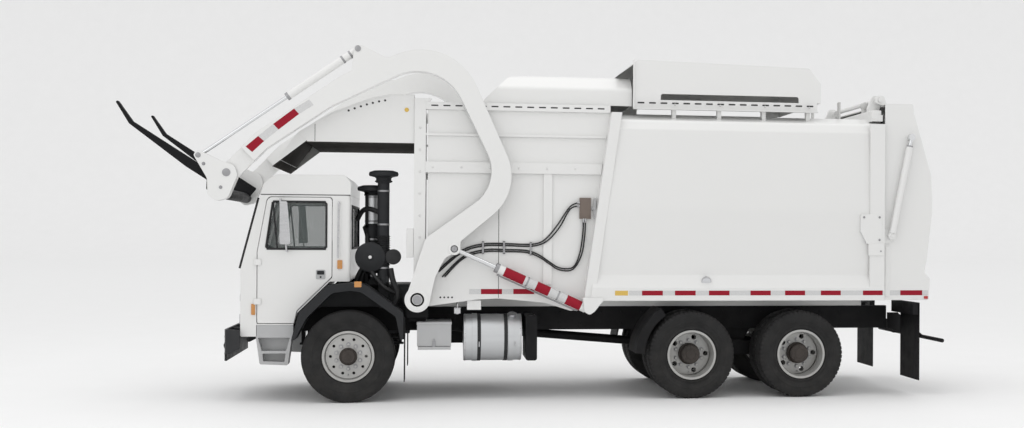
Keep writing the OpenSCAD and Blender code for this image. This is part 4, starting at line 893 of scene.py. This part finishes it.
def pad(name, centre, up, lean, half, channels):
    """A stuffed pad: half gives its half sizes across its face, through it and along Y."""
    shape = Shape(name, "fabric")
    rings = []
    for k in range(41):
        t = -0.995 + 1.99 * k / 40
        end = (1 - abs(t) ** 7) ** (1 / 7)
        pinch = 1 - 0.13 * max(math.exp(-((t - c) / 0.035) ** 2) for c in channels)
        ring = []
        for j in range(36):
            turn = math.tau * j / 36
            c, d = math.cos(turn), math.sin(turn)
            across = math.copysign(abs(c) ** 0.42, c) * half[0] * end * (1 - 0.035 * (1 - t * t))
            crown = 1 + 0.1 * (1 - c * c) * (1 - t * t) - 0.1
            through = math.copysign(abs(d) ** 0.55, d) * half[1] * end * crown * pinch
            ring.append(Vector(centre) + up * across + lean * through + Vector((0, t * half[2], 0)))
        rings.append(ring)
    made = shape.loft(rings).done(angle=70)
    return made


def build_seats():
    base = millimetres(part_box("seats")[0]).z
    along = Vector((150, 0, 650)).normalized()
    through = Vector((along.z, 0, -along.x))
    for name, y in (("left", -480), ("right", 480)):
        pieces = [
            pad(f"seat_cushion_{name}", (-442, y, base + 100), Vector((1, 0, 0)), Vector((0, 0, 1)),
                (242, 50, 236), (-0.55, 0.55)),
            pad(f"seat_back_{name}", (-190, y, base + 400), along, through, (270, 48, 226), (-0.55, 0.55)),
            pad(f"seat_headrest_{name}", (-105, y, base + 735), along, through, (72, 38, 130), (5,)),
        ]
        frame_piece = Shape(f"seat_base_{name}", "dash")
        frame_piece.box((-620, -230), (y - 190, y + 190), (base, base + 50))
        frame_piece.bar((-240, y - 195, base + 90), (-240, y + 195, base + 90), 28)
        for side in SIDES:
            frame_piece.bar((-128, y + side * 60, base + 640), (-112, y + side * 60, base + 715), 7)
        pieces.append(frame_piece.done(6))
        for piece in pieces:
            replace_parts(piece, "seats")


# ---- hopper, body and canopy ----


def build_hopper_slots():
    """Dark slots, holes and seams of the hopper and the canopy."""
    dark = Shape("hopper_slots", "rubber")
    for x in range(940, 2929, 142):
        dark.plates(panel(x, x + 84, 3500, 3516, 7, 3), 1055, 1060.8)
    for x in range(1060, 1199, 46):
        dark.discs((x, HOPPER_Y - 4, 1226), [(0, 11), (4.8, 11)], 16)
    for x, z in ((-18, 3427), (51, 3454), (122, 3479), (191, 3503), (260, 3523), (332, 3542), (402, 3555)):
        dark.discs((x, HOPPER_Y - 4, z), [(0, 13), (5.8, 13)], 18)
    for x, low, high in ((-402, 3062, 3262), (1747, 1222, 2708)):
        dark.plates(cube_outline(x - 3, x + 3, low, high), HOPPER_Y - 3, HOPPER_Y + 1.8)
    dark.done()


def build_hopper_skin():
    """Bolts, the canopy's side sheets and marker, and small boxes on the posts."""
    bolts = Shape("hopper_bolts", "white", slot=False)
    for z in range(1420, 3500, 260):
        bolts.nuts((812, 1055, z), 18, 9)
    for x in range(960, 3000, 340):
        bolts.nuts((x, 1065, 2775), 16, 8)
    bolts.done()
    sheets = Shape("canopy_side_sheets", "white")
    sheets.plates([(742, 3062), (-492, 3062), (-585, 3140), (-420, 3262), (-235, 3374), (0, 3468),
                   (235, 3560), (450, 3608), (742, 3622)], HOPPER_Y - 2, HOPPER_Y + 1)
    sheets.done()
    tan = Shape("canopy_marker", "yellow_tape")
    tan.discs((654, HOPPER_Y - 1, 3449), [(0, 26), (5, 26), (9, 20), (10, 1)], 28)
    tan.done()
    boxes = Shape("post_boxes", "white")
    boxes.blocks((660, 743), (985, 1045), (1700, 2045))
    boxes.blocks((1376, 1543), (940, 1010), (1075, 1190))
    boxes.blocks((1440, 1480), (960, 990), (1185, 1212))
    boxes.done(5)


def build_valve_box():
    """The hoses' control box, clamps and end fittings."""
    valve_box = Shape("valve_box", "brown")
    valve_box.box((2716, 2852), (-1068, -1030), (2175, 2428))
    valve_box.box((2726, 2842), (-1071, -1066), (2190, 2413))
    for z in (2215, 2385):
        for x in (2742, 2826):
            valve_box.nut((x, -1071, z), (0, -1, 0), 12, 4)
    valve_box.done(4)
    strip = Shape("valve_box_strip", "light")
    strip.box((2886, 2914), (-1068, -1030), (2175, 2428))
    strip.box((2850, 2890), (-1050, -1034), (2280, 2320))
    strip.done(3)
    clamps = Shape("hose_clamps", "bolt")
    for x, low, high in ((1560, 1760, 1885), (1810, 1760, 1890), (2130, 1745, 1880)):
        wide = (x - 12, x + 12)
        clamps.box(wide, (-1056, -1031), (low - 14, low - 6))
        clamps.box(wide, (-1056, -1052), (low - 14, high + 10))
        clamps.box(wide, (-1056, -1031), (high + 2, high + 10))
    clamps.done(1)
    fittings = Shape("hose_fittings", "steel")
    for i in range(2):
        fittings.bar((2680, -1065, 2330 + 40 * i), (2718, -1065, 2330 + 40 * i), 13, 6)
        fittings.bar((2760 + 26 * i, -1065, 2130), (2760 + 26 * i, -1065, 2178), 12, 6)
    fittings.done()


def build_work_lamps():
    lamp = Shape("work_lamps", "steel")
    glass = Shape("work_lamp_glass", "clear_lens")
    for side in SIDES:
        centre, aim = (4255, side * 1165, 1450), (0, side * 0.8, -0.6)
        lamp.bar((4255, side * 1150, 1470), (4255, side * 1180, 1455), 22)
        lamp.lathe(centre, aim, [(0, 30), (12, 52), (40, 60), (46, 60)])
        glass.lathe(centre, aim, [(44, 55), (50, 50), (53, 1)])
    lamp.done()
    glass.done()


def build_latches():
    latch = Shape("gate_latches", "white")
    latch.plates(rounded([(6199, 2040), (6199, 2259), (6473, 2259), (6473, 1889), (6280, 1889)], 16),
                 BODY_Y - 38, BODY_Y + 4)
    latch.plates(panel(6300, 6500, 1745, 1900, 8), BODY_Y - 24, BODY_Y + 10)
    latch.done(3)
    pins = Shape("latch_pins", "bolt")
    for x, z in ((6440, 2220), (6440, 1940), (6240, 2220), (6455, 1800)):
        pins.nuts((x, BODY_Y + 3, z), 20, 12)
    pins.done()


def build_roof_fittings():
    """Slots and seams under the roof, and the roof's hinges, rollers and rear beam."""
    seams = Shape("body_seams", "rubber")
    for x in range(3420, 5551, 142):
        seams.plates(panel(x, x + 84, 3588, 3606, 7, 3), 1030, 1035.8)
    seams.plates(cube_outline(6503, 6536, 1230, 3500), 1060, 1078)
    seams.done()
    roof = Shape("roof_fittings", "grey")
    roof.blocks((6090, 6112), (560, 640), (3468, 3700))
    roof.blocks((6060, 6142), (540, 660), (3462, 3480))
    roof.discs((6440, 560, 3660), [(0, 46), (90, 46), (94, 40)], 30)
    roof.blocks((6410, 6470), (570, 640), (3462, 3650))
    for i in range(4):
        roof.nuts((3885 + i * 566.7, 1036, 3580), 20, 10)
    roof.done(2)
    beam = Shape("roof_rear_beam", "white")
    beam.box((6375, 6500), (-1100, 1100), (3470, 3560))
    beam.done(10)


def build_tailgate():
    """Ribs, lamps and a blank number plate on the tailgate, and the lamps of the rear bumper."""
    ribs = Shape("gate_ribs", "white", "tailgate")
    ribs.plates(panel(6536, 6600, 1230, 1860, 10), GATE_Y - 2, GATE_Y + 5)
    ribs.done(5)
    lamps = Shape("gate_lamps", "red_lens", "tailgate")
    lamps.plates(panel(7045, 7095, 1205, 1240, 10), GATE_Y - 1, GATE_Y + 12)
    for y in (-1000, -880, 880, 1000):
        lamps.lathe((7116, y, 1270), (1, 0, 0), [(0, 52), (5, 52), (9, 44), (10, 1)], 36)
    for y in (-180, 0, 180):
        lamps.section(panel(y - 50, y + 50, 3560, 3596, 12), 6880, 6898)
    lamps.done()
    plate = Shape("number_plate", "white_tape", "tailgate")
    plate.section(panel(-160, 160, 1205, 1305, 10), 7106, 7114)
    plate.done(1)
    lamp_bar = Shape("rear_lamps", "red_lens")
    bezels = Shape("rear_lamp_bezels", "rubber")
    for y in (-1130, -990, -850, 850, 990, 1130):
        lamp_bar.lathe((6951, y, 1085), (1, 0, 0), [(0, 50), (6, 50), (10, 42), (11, 1)], 36)
        bezels.lathe((6949.5, y, 1085), (1, 0, 0), [(0, 60), (3, 60), (5, 56), (5, 46)], 36)
    lamp_bar.done()
    bezels.done()


def build_boxes_and_tank():
    """Trim of the battery box, and the tank's straps and fittings."""
    box = Shape("battery_box_trim", "bolt")
    box.plate(panel(972, 1006, 640, 716, 8), -1100, -1089)
    box.plate(cube_outline(982, 996, 690, 740), -1104, -1098)
    box.done(1.5)
    lid = Shape("battery_box_lid", "light")
    lid.box((784, 1196), (-1096, -474), (905, 936))
    lid.done(6)
    straps = Shape("tank_straps", "rubber")
    for x in (1520, 1840):
        straps.lathe((x - 22, -800, 735), (1, 0, 0), [(0, 281), (2, 285.5), (42, 285.5), (44, 281)], 96)
        straps.box((x - 26, x + 26), (-700, -480), (440, 462))
    straps.done(angle=30)
    tank = Shape("tank_fittings", "steel")
    for x in (1348, 2006):
        tank.lathe((x, -800, 735), (1, 0, 0), [(0, 281), (4, 283), (12, 283), (16, 281)], 96)
    tank.lathe((1920, -905, 985), (0, -0.4, 0.92), [(0, 44), (20, 44), (22, 52), (44, 52), (48, 44)])
    for x in (1520, 1950):
        tank.bar((x, -1082, 640), (x, -1082, 700), 7)
    tank.done(angle=30)


def build_brakes():
    """Brake chambers and air tanks."""
    brakes = Shape("brake_chambers", "black")
    for side in SIDES:
        for place in (MID_AXLE, REAR_AXLE):
            brakes.lathe((place.x + 150, side * 560, 640), (1, 0, 0.15), [
                (0, 60), (20, 86), (70, 88), (76, 94), (84, 94), (90, 88), (150, 84), (170, 60)], 32)
        brakes.lathe((2500, side * 200, 890), (1, 0, 0), [(0, 60), (30, 112), (700, 112), (730, 60)])
    for x in (2620, 3060):
        brakes.blocks((x, x + 30), (80, 345), (995, 1010))
    brakes.done(angle=30)


def build_chassis_bolts():
    """Bolts of the rails and the bumper, and the drain valve."""
    bolts = Shape("rail_bolts", "black", slot=False)
    for x in range(1500, 6700, 260):
        for z in (870, 1010):
            bolts.nuts((x, 430, z), 20, 12)
    bolts.done()
    bumper = Shape("bumper_bolts", "bolt")
    for y in (-800, -420, 420, 800):
        for z in (560, 760):
            bumper.nut((-1431, y, z), (-1, 0, 0), 26, 12)
    bumper.done()
    valve = Shape("drain_valve", "steel")
    valve.lathe((1262, -960, 1060), (0, -1, 0), [(0, 24), (30, 24), (34, 36), (48, 36), (52, 28)], 28)
    valve.tube([(1262, -980, 1080), (1262, -990, 1140), (1262, -960, 1200)], 10)
    valve.box((1225, 1300), (-940, -965), (1030, 1100))
    valve.done()


# ---- floor, light and camera ----


def build_stage():
    floor = Graph("studio_floor")
    speckle = floor.noise(floor.coordinates(), 1.2)
    floor.feed(floor.mix(speckle, shade((1, 1, 1), 0.89), shade((1, 1, 1), 0.92)), "Base Color")
    floor.set(Roughness=0.7)
    sweep = bmesh.new()
    radius, back, width, reach, height = 25.0, 75.0, 170.0, -170.0, 60.0
    line = [(reach, 0.0), (back, 0.0)]
    line += [(back + radius * math.sin(t), radius * (1 - math.cos(t))) for t in
             (math.pi / 2 * i / 12 for i in range(1, 13))]
    line += [(back + radius, height)]
    rows = [[sweep.verts.new((x, y, z)) for y, z in line] for x in (-width, width)]
    for i in range(len(line) - 1):
        sweep.faces.new((rows[0][i], rows[1][i], rows[1][i + 1], rows[0][i + 1]))
    data = bpy.data.meshes.new("studio_sweep")
    sweep.to_mesh(data)
    sweep.free()
    data.shade_smooth()
    data.materials.append(floor.material)
    place_object("studio_sweep", data)


def area_light(name, place, target, size, power):
    light = bpy.data.lights.new(name, "AREA")
    light.shape = "RECTANGLE"
    light.size, light.size_y = size
    light.energy = power
    made = place_object(name, light)
    made.location = place
    made.rotation_mode = "QUATERNION"
    made.rotation_quaternion = (Vector(target) - Vector(place)).to_track_quat("-Z", "Y")


def build_light():
    world = bpy.data.worlds.new("studio")
    world.use_nodes = True
    world.node_tree.nodes["Background"].inputs["Color"].default_value = (1.0, 1.0, 1.0, 1.0)
    world.node_tree.nodes["Background"].inputs["Strength"].default_value = 0.92
    bpy.context.scene.world = world
    area_light("top_softbox", (0, -2, 11), (0, 0, 0), (14, 8), 260)
    area_light("front_softbox", (-9, -11, 7), (-1, 0, 1.8), (8, 5), 100)
    scene = bpy.context.scene
    scene.view_settings.view_transform = "Standard"
    scene.view_settings.exposure = 0.0


CAMERA_PLACE = (0.973 + AXLE_X, -17.0, 1.969)
CAMERA_YAW = 0.163
CAMERA_ROLL = 0.006
CAMERA_LENS = 46.6
CAMERA_SHIFT = (-0.136, 0.0217)


def build_camera():
    data = bpy.data.cameras.new("camera")
    data.sensor_width = 36.0
    data.lens = CAMERA_LENS
    data.shift_x, data.shift_y = CAMERA_SHIFT
    data.clip_end = 300.0
    camera = place_object("camera", data)
    turn = Matrix.Rotation(-CAMERA_YAW, 4, "Z") @ Matrix.Rotation(math.pi / 2, 4, "X")
    camera.matrix_world = Matrix.Translation(CAMERA_PLACE) @ turn @ Matrix.Rotation(CAMERA_ROLL, 4, "Z")
    bpy.context.scene.camera = camera


for build in (build_tyres, build_wheel_details, build_doors, build_cab_seals, build_grille, build_cab_lamps,
              build_cab_fittings, build_engine_bay, build_side_tape, build_gate_tape, build_arm_tape,
              build_cylinder_tape, build_glands, build_arms, build_hoses, build_seats, build_hopper_slots,
              build_hopper_skin, build_valve_box, build_work_lamps, build_latches, build_roof_fittings,
              build_tailgate, build_boxes_and_tank, build_brakes, build_chassis_bolts, build_stage,
              build_light, build_camera):
    build()
